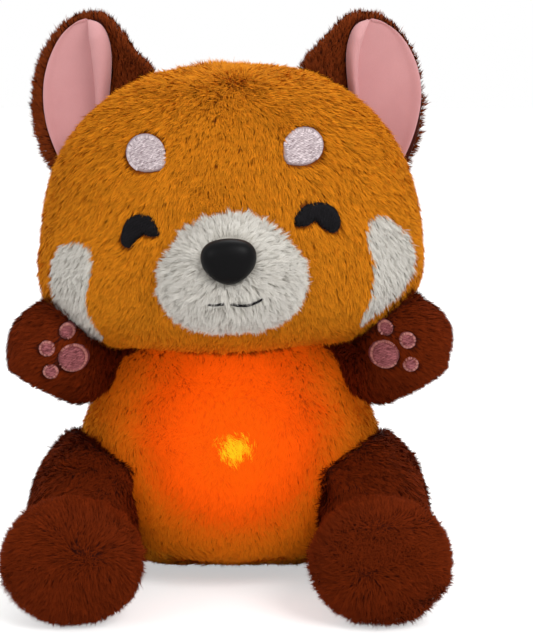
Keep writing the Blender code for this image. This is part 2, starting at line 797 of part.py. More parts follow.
def cupped_mesh(width, height, columns, fold, shift):
    """An open oval sheet in the ear's cup, hollow towards -Y, its last columns folded forward."""
    def build(shape):
        grid = []
        for row in range(EAR_ROWS + 1):
            angle = math.pi * (row / EAR_ROWS - 0.5)
            reach = math.cos(angle)
            z = math.sin(angle) * height / 2
            line = []
            for share in columns:
                x = shift + share * reach * width / 2
                width_share = 2 * x / EAR_WIDTH
                height_share = 2 * z / EAR_HEIGHT
                hollow = EAR_CUP * (1 - width_share ** 2 - EAR_CUP_RISE_SHARE * height_share ** 2)
                past_fold = (share - LINING_FOLD_SHARE) / (1 - LINING_FOLD_SHARE)
                lift = fold * reach * (1 - past_fold * LINING_FOLD_FADE_SHARE) if past_fold > 0 else 0
                line.append(shape.verts.new((x, hollow - lift, z)))
            grid.append(line)
        for lower, upper in zip(grid, grid[1:]):
            for step in range(len(columns) - 1):
                shape.faces.new((lower[step], lower[step + 1], upper[step + 1], upper[step]))
        bmesh.ops.remove_doubles(shape, verts=shape.verts, dist=WELD_GAP)

    return mesh_from(build)


def thicken(item, thickness, backwards):
    """Gives a sheet its thickness towards +Y or -Y."""
    bpy.context.view_layer.update()
    faces_back = item.data.polygons[len(item.data.polygons) // 2].normal.y > 0
    modifier = item.modifiers.new("thickness", "SOLIDIFY")
    modifier.thickness = thickness
    modifier.offset = 1 if faces_back == backwards else -1
    modifier.use_even_offset = False
    return item


def make_ears():
    for label, side in SIDES:
        place = (side * EAR_X - NECK_X, EAR_Y - NECK_Y, EAR_Z - NECK_Z)
        seat = empty(f"{label}_ear_seat", place, neck, (0, 0, side * EAR_YAW))
        shell = cupped_mesh(EAR_WIDTH, EAR_HEIGHT, EAR_COLUMN_SHARES, 0, 0)
        ear = add_object(f"{label}_ear", shell, BROWN_PLUSH, seat)
        thicken(ear, EAR_THICKNESS, True)
        cut(ear, head_inner)
        sheet = cupped_mesh(LINING_WIDTH, LINING_HEIGHT, LINING_COLUMN_SHARES, LINING_FOLD, -LINING_OUT)
        if side > 0:
            sheet.transform(Matrix.Scale(-1, 4, (1, 0, 0)))
            sheet.flip_normals()
        lining = add_object(f"{label}_ear_lining", sheet, PINK_LINING, seat, (0, -LINING_GAP, 0))
        thicken(lining, LINING_THICKNESS, False)
        cut(lining, head_inner)


make_ears()


def make_arm(label, side):
    """An arm with its pads, hung from the shoulder."""
    pivot = Vector((side * SHOULDER_X, SHOULDER_Y, SHOULDER_Z))
    shoulder = empty(f"{label}_shoulder_joint", pivot)
    aim = Vector((side * ARM_AIM_SHARES[0], ARM_AIM_SHARES[1], ARM_AIM_SHARES[2])).normalized()
    cage = stuffed_cage(ARM_ROW_SHARES, ARM_REACH + ARM_ROOT, ARM_HEIGHT, ARM_THICKNESS, ARM_SIDES)
    arm = add_object(f"{label}_arm", cage, BROWN_PLUSH, shoulder, -ARM_ROOT * aim)
    across = Vector((0, 0, 1))
    across = (across - aim * across.dot(aim)).normalized()
    turn = Matrix((across, aim.cross(across), aim)).transposed()
    arm.rotation_euler = turn.to_euler()
    subdivide(arm)
    pad_inner = grown(arm, FIT_GAP, f"{label}_pad_inner")
    pad_outer = grown(arm, FIT_GAP + PATCH_THICKNESS, f"{label}_pad_outer")

    shoulder_ball = ball(f"{label}_shoulder_ball", SHOULDER_RADIUS, pivot)
    nodding = []
    for step, nod in enumerate((-NOD_BACK, 0, NOD_FORWARD)):
        nodding.append(turned_copy(head_swing, neck_place, "X", nod, f"{label}_arm_nod_{step}"))
    cut(shoulder_ball, *nodding)
    cut(arm, *nodding)
    boolean(torso, shoulder_ball, "UNION")
    cut(arm, ball(f"{label}_shoulder_socket", SHOULDER_RADIUS + JOINT_GAP, pivot))
    for step in range(3):
        angle = side * ARM_DROP * step / 2
        cut(arm, turned_copy(torso_swing, pivot, "Y", -angle, f"{label}_arm_sweep_{step}"))

    near = -ARM_REACH
    far = aim.y / abs(aim.x) * (PALM_X - SHOULDER_X)
    spots = [("palm", 0, 0, PALM_RADIUS)]
    for index, angle in enumerate(TOE_ANGLES):
        across_palm = TOE_REACH * math.cos(angle)
        up_palm = TOE_REACH * math.sin(angle)
        spots.append((f"toe_{index + 1}", across_palm, up_palm, TOE_RADIUS))
    for spot, across_palm, up_palm, radius in spots:
        centre_x = side * (PALM_X + across_palm) - pivot.x
        outline = circle_outline(centre_x, PALM_Z + up_palm - pivot.z, radius, PAD_SIDES)
        pad = patch(f"{label}_{spot}_pad", outline, near, far, pad_outer, pad_inner, PAD_THREAD, shoulder)
        cut(pad, *nodding)


for label, side in SIDES:
    make_arm(label, side)


def make_leg(label, side):
    """A thigh and its foot, turned together about the hip's upright axis."""
    pivot = Vector((side * HIP_X, HIP_Y, HIP_Z))
    hip = empty(f"{label}_hip_joint", pivot)
    foot_centre = Vector((side * FOOT_X, FOOT_Y, FOOT_HEIGHT / 2 - FOOT_SINK))
    aim = (foot_centre - pivot).normalized()
    length = THIGH_ROOT + THIGH_LENGTH
    cage = stuffed_cage(THIGH_ROW_SHARES, length, THIGH_WIDTH, THIGH_HEIGHT, LEG_SIDES)
    thigh = add_object(f"{label}_leg", cage, BROWN_PLUSH, hip, -THIGH_ROOT * aim)
    thigh.rotation_euler = aim.to_track_quat("Z", "Y").to_euler()
    subdivide(thigh)

    cage = stuffed_cage(FOOT_ROW_SHARES, FOOT_THICKNESS, FOOT_WIDTH, FOOT_HEIGHT, LEG_SIDES)
    back = foot_centre + Vector((0, FOOT_THICKNESS / 2, 0))
    foot = add_object(f"{label}_foot", cage, BROWN_PLUSH, hip, back - pivot)
    foot.rotation_euler = (math.pi / 2, 0, 0)
    subdivide(foot)
    foot_seat = grown(foot, FIT_GAP, f"{label}_foot_seat")
    cut(foot, floor)

    boolean(torso, ball(f"{label}_hip_ball", HIP_RADIUS, pivot), "UNION")
    cut(thigh, ball(f"{label}_hip_socket", HIP_RADIUS + JOINT_GAP, pivot))
    for step in range(3):
        angle = side * LEG_SPREAD * step / 2
        cut(thigh, turned_copy(torso_swing, pivot, "Z", -angle, f"{label}_leg_sweep_{step}"))
    cut(thigh, foot_seat, floor)


for label, side in SIDES:
    make_leg(label, side)


def make_tail():
    """Five bands in a row, each swelling a little between its seams."""
    pivot = Vector((0, TAIL_Y, TAIL_Z))
    joint = empty("tail_joint", pivot)
    boolean(torso, ball("tail_ball", TAIL_BALL, pivot), "UNION")
    socket = ball("tail_socket", TAIL_BALL + JOINT_GAP, pivot)
    count = len(TAIL_BAND_RADIUS_SHARES)
    band_length = TAIL_LENGTH / count
    for index, share in enumerate(TAIL_BAND_RADIUS_SHARES):
        start = index * band_length
        end = start + band_length - FIT_GAP
        radius = share * TAIL_RADIUS
        if index < count - 1:
            seam = TAIL_BULGE_SHARE * radius
            upper = (2 * end + start) / 3
            lower = (end + 2 * start) / 3
            profile = [(0, end), (seam, end), (radius, upper), (radius, lower), (seam, start), (0, start)]
        else:
            profile = []
            for step in range(TAIL_TIP_STEPS + 1):
                turn = math.pi / 2 * step / TAIL_TIP_STEPS
                profile.append((radius * math.sin(turn), start + band_length * math.cos(turn)))
            profile.append((0, start))
        plush = BROWN_PLUSH if index % 2 == 0 else ORANGE_PLUSH
        band = turned(f"tail_band_{index + 1}", profile, TAIL_SIDES, plush, joint, (0, 0, 0), (0, 1, 0))
        if index == 0:
            cut(band, socket)
            for step in range(-1, 2):
                wag = step * TAIL_WAG
                cut(band, turned_copy(torso_swing, pivot, "Z", wag, f"tail_sweep_{step + 1}"))


make_tail()


def torso_layer(name, width, height, centre_z, depth, thickness, material, parent=None):
    """A sheet that follows the torso's back, lying a depth under its surface."""
    outer = grown(torso_form, -depth, f"{name}_outer")
    inner = grown(torso_form, -depth - thickness, f"{name}_inner")
    offset = Vector(parent.location) if parent else Vector()
    outline = []
    for way_x, way_z in ((-1, -1), (1, -1), (1, 1), (-1, 1)):
        outline.append((way_x * width / 2 - offset.x, centre_z + way_z * height / 2 - offset.z))
    far = TORSO_Y + TORSO_DEPTH - offset.y
    return patch(name, outline, TORSO_Y - offset.y, far, outer, inner, material, parent)


def make_back_opening():
    """The flap over the battery pocket, its tapes, and the room that they lie in."""
    flap_width = POCKET_WIDTH + 2 * FLAP_MARGIN
    flap_height = POCKET_HEIGHT + 2 * FLAP_MARGIN
    hinge_z = pocket_z + flap_height / 2
    hinge_y = TORSO_Y + torso_half_depth(flap_width / 2, hinge_z) - FLAP_THICKNESS
    hinge = empty("flap_joint", (0, hinge_y, hinge_z))
    flap = torso_layer("back_flap", flap_width, flap_height, pocket_z, 0, FLAP_THICKNESS, ORANGE_PLUSH, hinge)
    corner_size = (TORSO_WIDTH, TORSO_DEPTH, 2 * FLAP_CORNER)
    cut(flap, add_box("flap_corner_room", corner_size, (0, hinge_y - TORSO_DEPTH / 2, hinge_z)))
    tape = (TAPE_WIDTH, TAPE_HEIGHT, pocket_z - POCKET_HEIGHT / 2 - FLAP_MARGIN / 2)
    hook_depth = FLAP_THICKNESS + FIT_GAP
    torso_layer("closure_hook_tape", *tape, hook_depth, TAPE_THICKNESS, TAPE_NYLON, hinge)
    loop_depth = hook_depth + TAPE_THICKNESS + FIT_GAP
    torso_layer("closure_loop_tape", *tape, loop_depth, TAPE_THICKNESS, TAPE_NYLON)

    far = TORSO_DEPTH
    flap_place = (flap_width, flap_height + FLAP_SWING_ROOM, pocket_z + FLAP_SWING_ROOM / 2)
    tape_depth = loop_depth + TAPE_THICKNESS + FIT_GAP
    for name, place, depth in (("flap_room", flap_place, hook_depth), ("tape_room", tape, tape_depth)):
        width, height, centre_z = place
        room = add_box(name, (width + 4 * FIT_GAP, far, height + 4 * FIT_GAP), (0, far / 2, centre_z))
        cut(room, grown(torso_form, -depth, f"{name}_floor"))
        cut(torso, room)
    pocket_size = (POCKET_WIDTH, far, POCKET_HEIGHT)
    cut(torso, add_box("battery_pocket", pocket_size, (0, pocket_floor_y + far / 2, pocket_z)))


make_back_opening()


def make_screw(name, head_place, aim):
    """A small screw with a slotted head; it aims the way that it is driven."""
    profile = [(0, SCREW_HEAD_HEIGHT), (SCREW_HEAD_RADIUS, SCREW_HEAD_HEIGHT), (SCREW_HEAD_RADIUS, 0),
               (SCREW_RADIUS, 0), (SCREW_RADIUS, -SCREW_LENGTH), (0, -SCREW_LENGTH)]
    away = -Vector(aim)
    screw = turned(name, profile, SCREW_SIDES, STEEL, None, head_place, away)
    slot_centre = Vector(head_place) + away * SCREW_HEAD_HEIGHT
    slot_size = (3 * SCREW_HEAD_RADIUS, SCREW_HEAD_HEIGHT, SCREW_SLOT)
    return cut(screw, add_box(f"{name}_slot", slot_size, slot_centre))


def screw_hole(item, name, head_place, aim, head_room):
    """Cuts the bore that a screw's shank is driven into, and the seat that its head lies in."""
    place = Vector(head_place)
    aim = Vector(aim)
    away = place - aim * OVERRUN
    end = place + aim * (SCREW_LENGTH + FIT_GAP)
    cut(item, add_rod(f"{name}_bore", SCREW_RADIUS + FIT_GAP, away, end, sides=SCREW_SIDES))
    if head_room:
        cut(item, add_rod(f"{name}_seat", SCREW_HEAD_RADIUS + FIT_GAP, away, place, sides=SCREW_SIDES))


def make_case():
    """The box that holds the cells and the switch, open at the back over the cells."""
    case_size = (CASE_WIDTH, case_depth, case_height)
    case_centre = (0, case_y + case_depth / 2, pocket_z)
    case = add_box("battery_case", case_size, case_centre, WHITE_PLASTIC, CASE_CORNER)
    bay_depth = case_depth - CASE_WALL
    cut(case, add_box("cell_bay", (bay_width, bay_depth * 2, bay_height), (bay_x, case_back, pocket_z)))
    lip = (bay_width + 2 * DOOR_LIP, 2 * DOOR_THICKNESS, bay_height + 2 * DOOR_LIP)
    door_size = (lip[0] - 2 * FIT_GAP, DOOR_THICKNESS, lip[2] - 2 * FIT_GAP)
    cut(case, add_box("door_room", lip, (bay_x, case_back, pocket_z)))
    door_screw = Vector((column_x, case_back - SCREW_HEAD_HEIGHT, pocket_z - DOOR_SCREW_DROP))
    tab_start = bay_x + bay_width / 2
    tab_end = column_x + DOOR_TAB / 2
    tab_x = (tab_start + tab_end) / 2
    tab = (tab_end - tab_start, DOOR_THICKNESS, DOOR_TAB)
    tab_room = (tab[0] + 2 * FIT_GAP, 2 * DOOR_THICKNESS, tab[2] + 2 * FIT_GAP)
    cut(case, add_box("tab_room", tab_room, (tab_x, case_back, door_screw.z)))

    door_y = case_back - DOOR_THICKNESS / 2 + FIT_GAP
    door = add_box("battery_door", door_size, (bay_x, door_y, pocket_z), WHITE_PLASTIC)
    boolean(door, add_box("door_tab", tab, (tab_x, door_y, door_screw.z)), "UNION")
    door_screw.y += FIT_GAP
    make_screw("door_screw", door_screw + back * FIT_GAP, -back)
    screw_hole(door, "door_screw_door", door_screw, -back, True)
    screw_hole(case, "door_screw_case", door_screw, -back, False)

    room_depth = case_depth - CASE_WALL
    room_centre = (column_x, case_y + room_depth / 2 - OVERRUN / 2, switch_z)
    room_size = (BOARD_WIDTH + 2 * FIT_GAP, room_depth + OVERRUN, BOARD_HEIGHT + 2 * FIT_GAP)
    cut(case, add_box("switch_room", room_size, room_centre))
    hole_start = (column_x, case_y, switch_z)
    hole_end = (column_x, case_back + OVERRUN, switch_z)
    cut(case, add_rod("button_hole", BUTTON_RADIUS + BUTTON_CLEARANCE, hole_start, hole_end))

    cover_size = (CASE_WIDTH, COVER_THICKNESS, case_height)
    cover_centre = (0, cover_y + COVER_THICKNESS / 2, pocket_z)
    cover = add_box("case_cover", cover_size, cover_centre, WHITE_PLASTIC, CASE_CORNER)
    for index, way in enumerate((1, -1)):
        place = Vector((column_x, cover_y + SCREW_HEAD_HEIGHT, pocket_z + way * COVER_SCREW_REACH))
        make_screw(f"cover_screw_{index + 1}", place - back * FIT_GAP, back)
        screw_hole(cover, f"cover_screw_cover_{index}", place, back, True)
        screw_hole(case, f"cover_screw_case_{index}", place, back, False)
    lead_start = (column_x, cover_y - OVERRUN, switch_z)
    cut(cover, add_rod("lead_hole_cover", LEAD_HOLE, lead_start, (column_x, case_y, switch_z)))


make_case()


def make_cells():
    """Three slim cells, head to tail, between link plates and springs."""
    centre_y = case_y + CASE_WALL + FIT_GAP + CELL_RADIUS
    plate_bottom = bay_bottom + FIT_GAP
    plate_top = bay_bottom + bay_height - FIT_GAP - CONTACT_THICKNESS
    for index in range(3):
        x = bay_x + (index - 1) * CELL_PITCH
        up = index % 2 == 0
        tip = CELL_LENGTH + CELL_CAP_HEIGHT
        profile = [(0, tip), (CELL_CAP_RADIUS, tip), (CELL_CAP_RADIUS, CELL_LENGTH),
                   (CELL_RADIUS, CELL_LENGTH), (CELL_RADIUS, 0), (0, 0)]
        sprung = CONTACT_THICKNESS + CONTACT_SPRING + FIT_GAP
        foot = plate_bottom + sprung if up else plate_top - CONTACT_SPRING - FIT_GAP
        aim = (0, 0, 1 if up else -1)
        turned(f"battery_cell_{index + 1}", profile, CELL_SIDES, CELL_JACKET, None, (x, centre_y, foot), aim)

    links = (
        ("contact_plate_low_1", plate_bottom, (0,), (0,)),
        ("contact_plate_low_2", plate_bottom, (1, 2), (2,)),
        ("contact_plate_top_1", plate_top, (0, 1), (1,)),
        ("contact_plate_top_2", plate_top, (2,), ()),
    )
    for name, level, cells, sprung_cells in links:
        middle = bay_x + (sum(cells) / len(cells) - 1) * CELL_PITCH
        width = (len(cells) - 1) * CELL_PITCH + 2 * (CELL_RADIUS - FIT_GAP)
        plate_size = (width, CONTACT_DEPTH, CONTACT_THICKNESS)
        plate = add_box(name, plate_size, (middle, centre_y, level + CONTACT_THICKNESS / 2), STEEL)
        for cell in sprung_cells:
            inward = 1 if level == plate_bottom else -1
            x = bay_x + (cell - 1) * CELL_PITCH
            seat = level + CONTACT_THICKNESS / 2
            tip = seat + inward * (CONTACT_THICKNESS / 2 + CONTACT_SPRING)
            mesh = mesh_from(lambda shape: bmesh.ops.create_cone(
                shape, cap_ends=True, segments=CELL_SIDES, radius1=CONTACT_SPRING_RADIUS,
                radius2=CELL_CAP_RADIUS, depth=abs(tip - seat)))
            spring_centre = (x, centre_y, (tip + seat) / 2)
            cone = add_object(f"{name}_spring", mesh, None, None, spring_centre, cutters)
            if inward < 0:
                cone.rotation_euler = (math.pi, 0, 0)
            boolean(plate, as_cutter(cone), "UNION")


make_cells()


def make_switch():
    """The board, its switch and the button that presses it."""
    board_y = case_y + BOARD_THICKNESS / 2
    board_size = (BOARD_WIDTH, BOARD_THICKNESS, BOARD_HEIGHT)
    add_box("switch_board", board_size, (column_x, board_y, switch_z), BOARD_RESIN)
    switch_y = case_y + BOARD_THICKNESS + FIT_GAP
    wall = case_back - CASE_WALL
    flange_front = wall - FIT_GAP - BUTTON_FLANGE
    stem_end = flange_front - BUTTON_TRAVEL - FIT_GAP
    switch_centre = (column_x, switch_y + SWITCH_HEIGHT / 2, switch_z)
    switch = add_box("tact_switch", (SWITCH_SIZE, SWITCH_HEIGHT, SWITCH_SIZE), switch_centre, BLACK_PLASTIC)
    stem = add_rod("switch_stem", SWITCH_STEM_RADIUS, switch_centre, (column_x, stem_end, switch_z))
    boolean(switch, stem, "UNION")

    joint = empty("button_joint", (column_x, case_back, switch_z))
    height = case_back + BUTTON_PROUD - flange_front
    flange = BUTTON_RADIUS + 3 * BUTTON_CLEARANCE
    crown = BUTTON_FLANGE / 2
    profile = [(0, height), (BUTTON_RADIUS - crown, height), (BUTTON_RADIUS, height - crown),
               (BUTTON_RADIUS, BUTTON_FLANGE), (flange, BUTTON_FLANGE), (flange, 0), (0, 0)]
    turned("light_button", profile, ROD_SIDES, AMBER_LIGHT, joint, (0, flange_front - case_back, 0), back)


make_switch()


def make_lamp():
    """A round lamp behind the belly: base, board, light and domed diffuser."""
    aim = Vector((0, -1, 0))
    centre = Vector((LAMP_X, lamp_y, lamp_z))
    inner = LAMP_RADIUS - LAMP_WALL
    ledge = inner - LAMP_WALL
    profile = [(LAMP_RADIUS, LAMP_BASE_DEPTH), (LAMP_RADIUS, 0), (LEAD_HOLE, 0), (LEAD_HOLE, LAMP_WALL),
               (ledge, LAMP_WALL), (ledge, LAMP_LEDGE), (inner, LAMP_LEDGE), (inner, LAMP_BASE_DEPTH),
               (LAMP_RADIUS, LAMP_BASE_DEPTH)]
    turned("lamp_base", profile, LAMP_SIDES, WHITE_PLASTIC, None, centre, aim)

    board_front = LAMP_LEDGE + FIT_GAP + BOARD_THICKNESS
    board_radius = inner - FIT_GAP
    profile = [(0, board_front), (board_radius, board_front), (board_radius, LAMP_LEDGE + FIT_GAP),
               (0, LAMP_LEDGE + FIT_GAP)]
    turned("lamp_board", profile, LAMP_SIDES, BOARD_RESIN, None, centre, aim)

    led_back = board_front + FIT_GAP
    led_centre = centre + aim * (led_back + LED_HEIGHT / 2)
    led = add_box("led", (LED_SIZE, LED_HEIGHT, LED_SIZE), led_centre, AMBER_LIGHT)
    lens_place = centre + aim * (led_back + LED_HEIGHT)
    lens = ball("led_lens", LED_LENS_RADIUS, lens_place, LED_LENS_SIDES, LED_LENS_SIDES // 2)
    boolean(led, lens, "UNION")

    rim = LAMP_BASE_DEPTH + FIT_GAP
    outer = []
    hollow = []
    for step in range(LAMP_DOME_STEPS + 1):
        turn = math.pi / 2 * step / LAMP_DOME_STEPS
        outer.append((LAMP_RADIUS * math.sin(turn), rim + LAMP_DOME * math.cos(turn)))
        hollow.append((inner * math.sin(turn), rim + (LAMP_DOME - LAMP_WALL) * math.cos(turn)))
    turned("lamp_diffuser", outer + list(reversed(hollow)), LAMP_SIDES, CLEAR_PLASTIC, None, centre, aim)

    room_front = centre + aim * (rim + LAMP_DOME + FIT_GAP)
    room_back = centre - aim * FIT_GAP
    cut(torso, add_rod("lamp_room", LAMP_RADIUS + FIT_GAP, room_back, room_front, sides=LAMP_SIDES))


make_lamp()


def make_lead():
    """The lead from the switch board to the lamp's board, in its channel through the stuffing."""
    start = Vector((LAMP_X, lamp_y - LAMP_LEDGE, lamp_z))
    end = Vector((column_x, case_y - FIT_GAP, switch_z))
    curve = bpy.data.curves.new("lamp_lead", "CURVE")
    curve.dimensions = "3D"
    curve.bevel_depth = LEAD_RADIUS
    curve.bevel_resolution = 2
    curve.use_fill_caps = True
    line = curve.splines.new("POLY")
    line.points.add(LEAD_STEPS)
    for index, point in enumerate(line.points):
        t = index / (LEAD_STEPS)
        ease = t * t * (3 - 2 * t)
        across = start.lerp(end, ease)
        point.co = (across.x, start.lerp(end, t).y, across.z, 1)
    lead = bpy.data.objects.new("lamp_lead", curve)
    parts.objects.link(lead)
    curve.materials.append(LEAD_JACKET)
    channel_start = (LAMP_X, lamp_y, lamp_z)
    channel_end = (column_x, pocket_floor_y + OVERRUN, switch_z)
    cut(torso, add_rod("lead_channel", LEAD_CHANNEL, channel_start, channel_end))


make_lead()
cut(torso, floor)
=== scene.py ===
# %% [markdown]
# A plush night light: a sitting stuffed animal whose belly glows from a lamp inside.
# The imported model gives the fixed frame. Every looks piece below is built round it, in metres,
# and rides on the body that carries it.

# %% Load the frame
import math

import bmesh
import bpy
import numpy as np
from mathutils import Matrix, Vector
from mathutils.bvhtree import BVHTree
from mathutils.geometry import delaunay_2d_cdt
from mathutils.kdtree import KDTree


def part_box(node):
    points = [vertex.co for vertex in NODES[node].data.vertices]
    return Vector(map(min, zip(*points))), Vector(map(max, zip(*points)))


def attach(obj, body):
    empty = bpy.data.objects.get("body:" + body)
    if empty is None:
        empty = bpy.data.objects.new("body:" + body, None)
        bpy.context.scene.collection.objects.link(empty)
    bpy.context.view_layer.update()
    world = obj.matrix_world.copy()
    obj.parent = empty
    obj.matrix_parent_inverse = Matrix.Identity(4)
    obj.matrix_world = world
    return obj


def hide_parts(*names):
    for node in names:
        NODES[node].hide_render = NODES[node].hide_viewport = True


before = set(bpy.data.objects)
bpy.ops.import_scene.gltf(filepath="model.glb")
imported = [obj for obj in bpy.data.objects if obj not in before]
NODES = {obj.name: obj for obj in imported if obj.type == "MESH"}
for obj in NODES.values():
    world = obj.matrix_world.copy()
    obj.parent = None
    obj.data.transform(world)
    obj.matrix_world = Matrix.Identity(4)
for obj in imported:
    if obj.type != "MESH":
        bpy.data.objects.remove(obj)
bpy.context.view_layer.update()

MM = 0.001
LOOSE = 1.0

# %% [markdown]
# The view. The toy was photographed from a little above its face with a long lens, so that its
# feet and its head have nearly the same scale. The camera stands 0.95 m away and looks down by
# ten degrees.

# %% Camera
camera_data = bpy.data.cameras.new("camera")
camera_data.lens = 103.8
camera_data.sensor_width = 36
camera = bpy.data.objects.new("camera", camera_data)
bpy.context.scene.collection.objects.link(camera)
look_at = Vector((0.0193, -0.020, 0.135))
camera.location = (0.0193, -0.9556, 0.3000)
camera.rotation_euler = (look_at - camera.location).to_track_quat("-Z", "Y").to_euler()
bpy.context.scene.camera = camera
bpy.context.scene.view_settings.view_transform = "Standard"


# %% [markdown]
# The studio. A broad lamp high on the right, a weaker one on the left and a pale sky give soft
# shade with no hard edge. The floor is a plain pale sheet. What the camera sees of sky and floor
# is white, while the toy still gets only the plain light and leaves its shadow.

# %% Light and floor
WHITE = (1, 1, 1, 1)


def add_object(name, data):
    item = bpy.data.objects.new(name, data)
    bpy.context.scene.collection.objects.link(item)
    return item


def soft_lamp(name, place, size, power):
    data = bpy.data.lights.new(name, "AREA")
    data.shape, data.size, data.energy = "DISK", size, power
    lamp = add_object(name, data)
    lamp.location = place
    lamp.rotation_euler = (Vector((0, 0, 0.13)) - lamp.location).to_track_quat("-Z", "Y").to_euler()


soft_lamp("key_lamp", (0.95, -1.45, 1.5), 1.1, 23)
soft_lamp("fill_lamp", (-1.3, -1.3, 0.9), 1.0, 5.5)
soft_lamp("top_lamp", (0.2, 0.9, 1.7), 1.0, 9)


def feed(tree, socket, value):
    """Sets a socket to a number, text or colour, or links it to another socket."""
    if isinstance(value, bpy.types.NodeSocket):
        tree.links.new(value, socket)
    else:
        socket.default_value = value


def add_node(tree, kind, inputs=(), **settings):
    """A new node, with its settings made and its inputs fed."""
    node = tree.nodes.new(kind)
    for label, value in settings.items():
        setattr(node, label, value)
    for label, value in dict(inputs).items():
        feed(tree, node.inputs[label], value)
    return node


def make_sky():
    world = bpy.data.worlds.new("studio_sky")
    bpy.context.scene.world = world
    world.use_nodes = True
    tree = world.node_tree
    tree.nodes.clear()
    rays = add_node(tree, "ShaderNodeLightPath").outputs
    straight = add_node(tree, "ShaderNodeMath", {0: rays["Is Camera Ray"], 1: rays["Is Glossy Ray"]},
                        operation="MAXIMUM")
    lit = add_node(tree, "ShaderNodeBackground", {"Color": (1.0, 0.985, 0.965, 1), "Strength": 0.62})
    seen = add_node(tree, "ShaderNodeBackground", {"Color": WHITE, "Strength": 1.0})
    mix = add_node(tree, "ShaderNodeMixShader", {0: straight.outputs[0], 1: lit.outputs[0], 2: seen.outputs[0]})
    add_node(tree, "ShaderNodeOutputWorld", {0: mix.outputs[0]})


def make_floor():
    mesh = bpy.data.meshes.new("studio_floor")
    reach = 4
    mesh.from_pydata([(-reach, -reach, 0), (reach, -reach, 0), (reach, reach, 0), (-reach, reach, 0)], [],
                     [(0, 1, 2, 3)])
    floor = add_object("studio_floor", mesh)
    floor.location = (0, 0, -0.0004)
    paper = bpy.data.materials.new("pale_paper")
    paper.use_nodes = True
    tree = paper.node_tree
    rays = add_node(tree, "ShaderNodeLightPath")
    lift = add_node(tree, "ShaderNodeMath", {0: rays.outputs["Is Camera Ray"], 1: 0.5}, operation="MULTIPLY")
    for label, value in (("Base Color", (0.86, 0.86, 0.86, 1)), ("Roughness", 0.9), ("Specular IOR Level", 0.1),
                         ("Emission Color", WHITE), ("Emission Strength", lift.outputs[0])):
        feed(tree, tree.nodes["Principled BSDF"].inputs[label], value)
    mesh.materials.append(paper)


make_sky()
make_floor()

# %% [markdown]
# Colours are written as they look in daylight, from 0 to 255, and turned to the linear values
# that Blender's shaders work in. The helpers below shorten what every material repeats: a sum, a
# mix of two colours, a pattern on the piece's own place, a fine relief and a glow.

# %% Colours and shader helpers
def colour(*levels):
    shares = [level / 255 for level in levels]
    return (*(share / 12.92 if share <= 0.04045 else ((share + 0.055) / 1.055) ** 2.4 for share in shares), 1.0)


def math_node(tree, operation, *values, clamp=False):
    return add_node(tree, "ShaderNodeMath", enumerate(values), operation=operation, use_clamp=clamp).outputs[0]


def mix_colour(tree, factor, first, second, blend="MIX"):
    return add_node(tree, "ShaderNodeMix", {0: factor, 6: first, 7: second}, data_type="RGBA",
                    blend_type=blend).outputs[2]


def scaled_colour(tree, shade, level):
    grey = add_node(tree, "ShaderNodeCombineColor", {0: level, 1: level, 2: level})
    return mix_colour(tree, 1.0, shade, grey.outputs[0], "MULTIPLY")


def pattern(tree, kind, scale, output="Fac", **inputs):
    """A texture on the piece's own place."""
    place = add_node(tree, "ShaderNodeTexCoord")
    fed = {"Vector": place.outputs["Object"], "Scale": scale, **inputs}
    return add_node(tree, f"ShaderNodeTex{kind}", fed).outputs[output]


def ramp(tree, source, stops):
    node = add_node(tree, "ShaderNodeValToRGB", {0: source})
    line = node.color_ramp.elements
    while len(line) < len(stops):
        line.new(0.5)
    for element, (place, levels) in zip(line, stops):
        element.position = place
        element.color = colour(*levels)
    return node.outputs[0]


def emboss(tree, height, strength, distance):
    """A fine relief on the material's surface."""
    relief = add_node(tree, "ShaderNodeBump", {"Height": height, "Strength": strength, "Distance": distance})
    feed(tree, tree.nodes["Principled BSDF"].inputs["Normal"], relief.outputs["Normal"])


def shine_out(material, shade, strength):
    """The surface glows, but lights nothing round it."""
    shader = material.node_tree.nodes["Principled BSDF"]
    feed(material.node_tree, shader.inputs["Emission Color"], shade)
    shader.inputs["Emission Strength"].default_value = strength
    material.cycles.emission_sampling = "NONE"


def new_material(name, roughness=0.8, sheen=0.0, specular=0.3):
    material = bpy.data.materials.new(name)
    material.use_nodes = True
    shader = material.node_tree.nodes["Principled BSDF"]
    shader.inputs["Roughness"].default_value = roughness
    shader.inputs["Specular IOR Level"].default_value = specular
    if sheen:
        shader.inputs["Sheen Weight"].default_value = sheen
        shader.inputs["Sheen Roughness"].default_value = 0.5
    return material, material.node_tree, shader.inputs


def socket_kind(value):
    return "NodeSocketColor" if isinstance(value, tuple) else "NodeSocketFloat"


def shader_group(name, inputs):
    """An empty node group with named inputs, and its input sockets."""
    tree = bpy.data.node_groups.new(name, "ShaderNodeTree")
    for label, value in inputs.items():
        socket = tree.interface.new_socket(label, in_out="INPUT", socket_type=socket_kind(value))
        socket.default_value = value
    return tree, tree.nodes.new("NodeGroupInput").outputs


def close_group(tree, **results):
    """Names the group's outputs and feeds them."""
    for label in results:
        kind = "NodeSocketColor" if label == "Color" else "NodeSocketFloat"
        tree.interface.new_socket(label, in_out="OUTPUT", socket_type=kind)
    add_node(tree, "NodeGroupOutput", results)
    return tree


def use_group(tree, group, **values):
    inputs = {label.replace("_", " "): value for label, value in values.items()}
    return add_node(tree, "ShaderNodeGroup", inputs, node_tree=group).outputs

# %% [markdown]
# Pile fibres are darker at the root and pale at the tip; the darker root is painted shade, for the
# little light that reaches down there. No two tufts have the same tone. The group below reads a
# fibre's own map: across it lies the tuft's tone and along it the way from root to tip.

# %% Fibre tone group
def strand_map(tree):
    """Both numbers of a strand's own map: its tone or light, and the way along it."""
    place = add_node(tree, "ShaderNodeUVMap", uv_map="OFBake")
    split = add_node(tree, "ShaderNodeSeparateXYZ", {0: place.outputs[0]})
    return split.outputs[0], split.outputs[1]


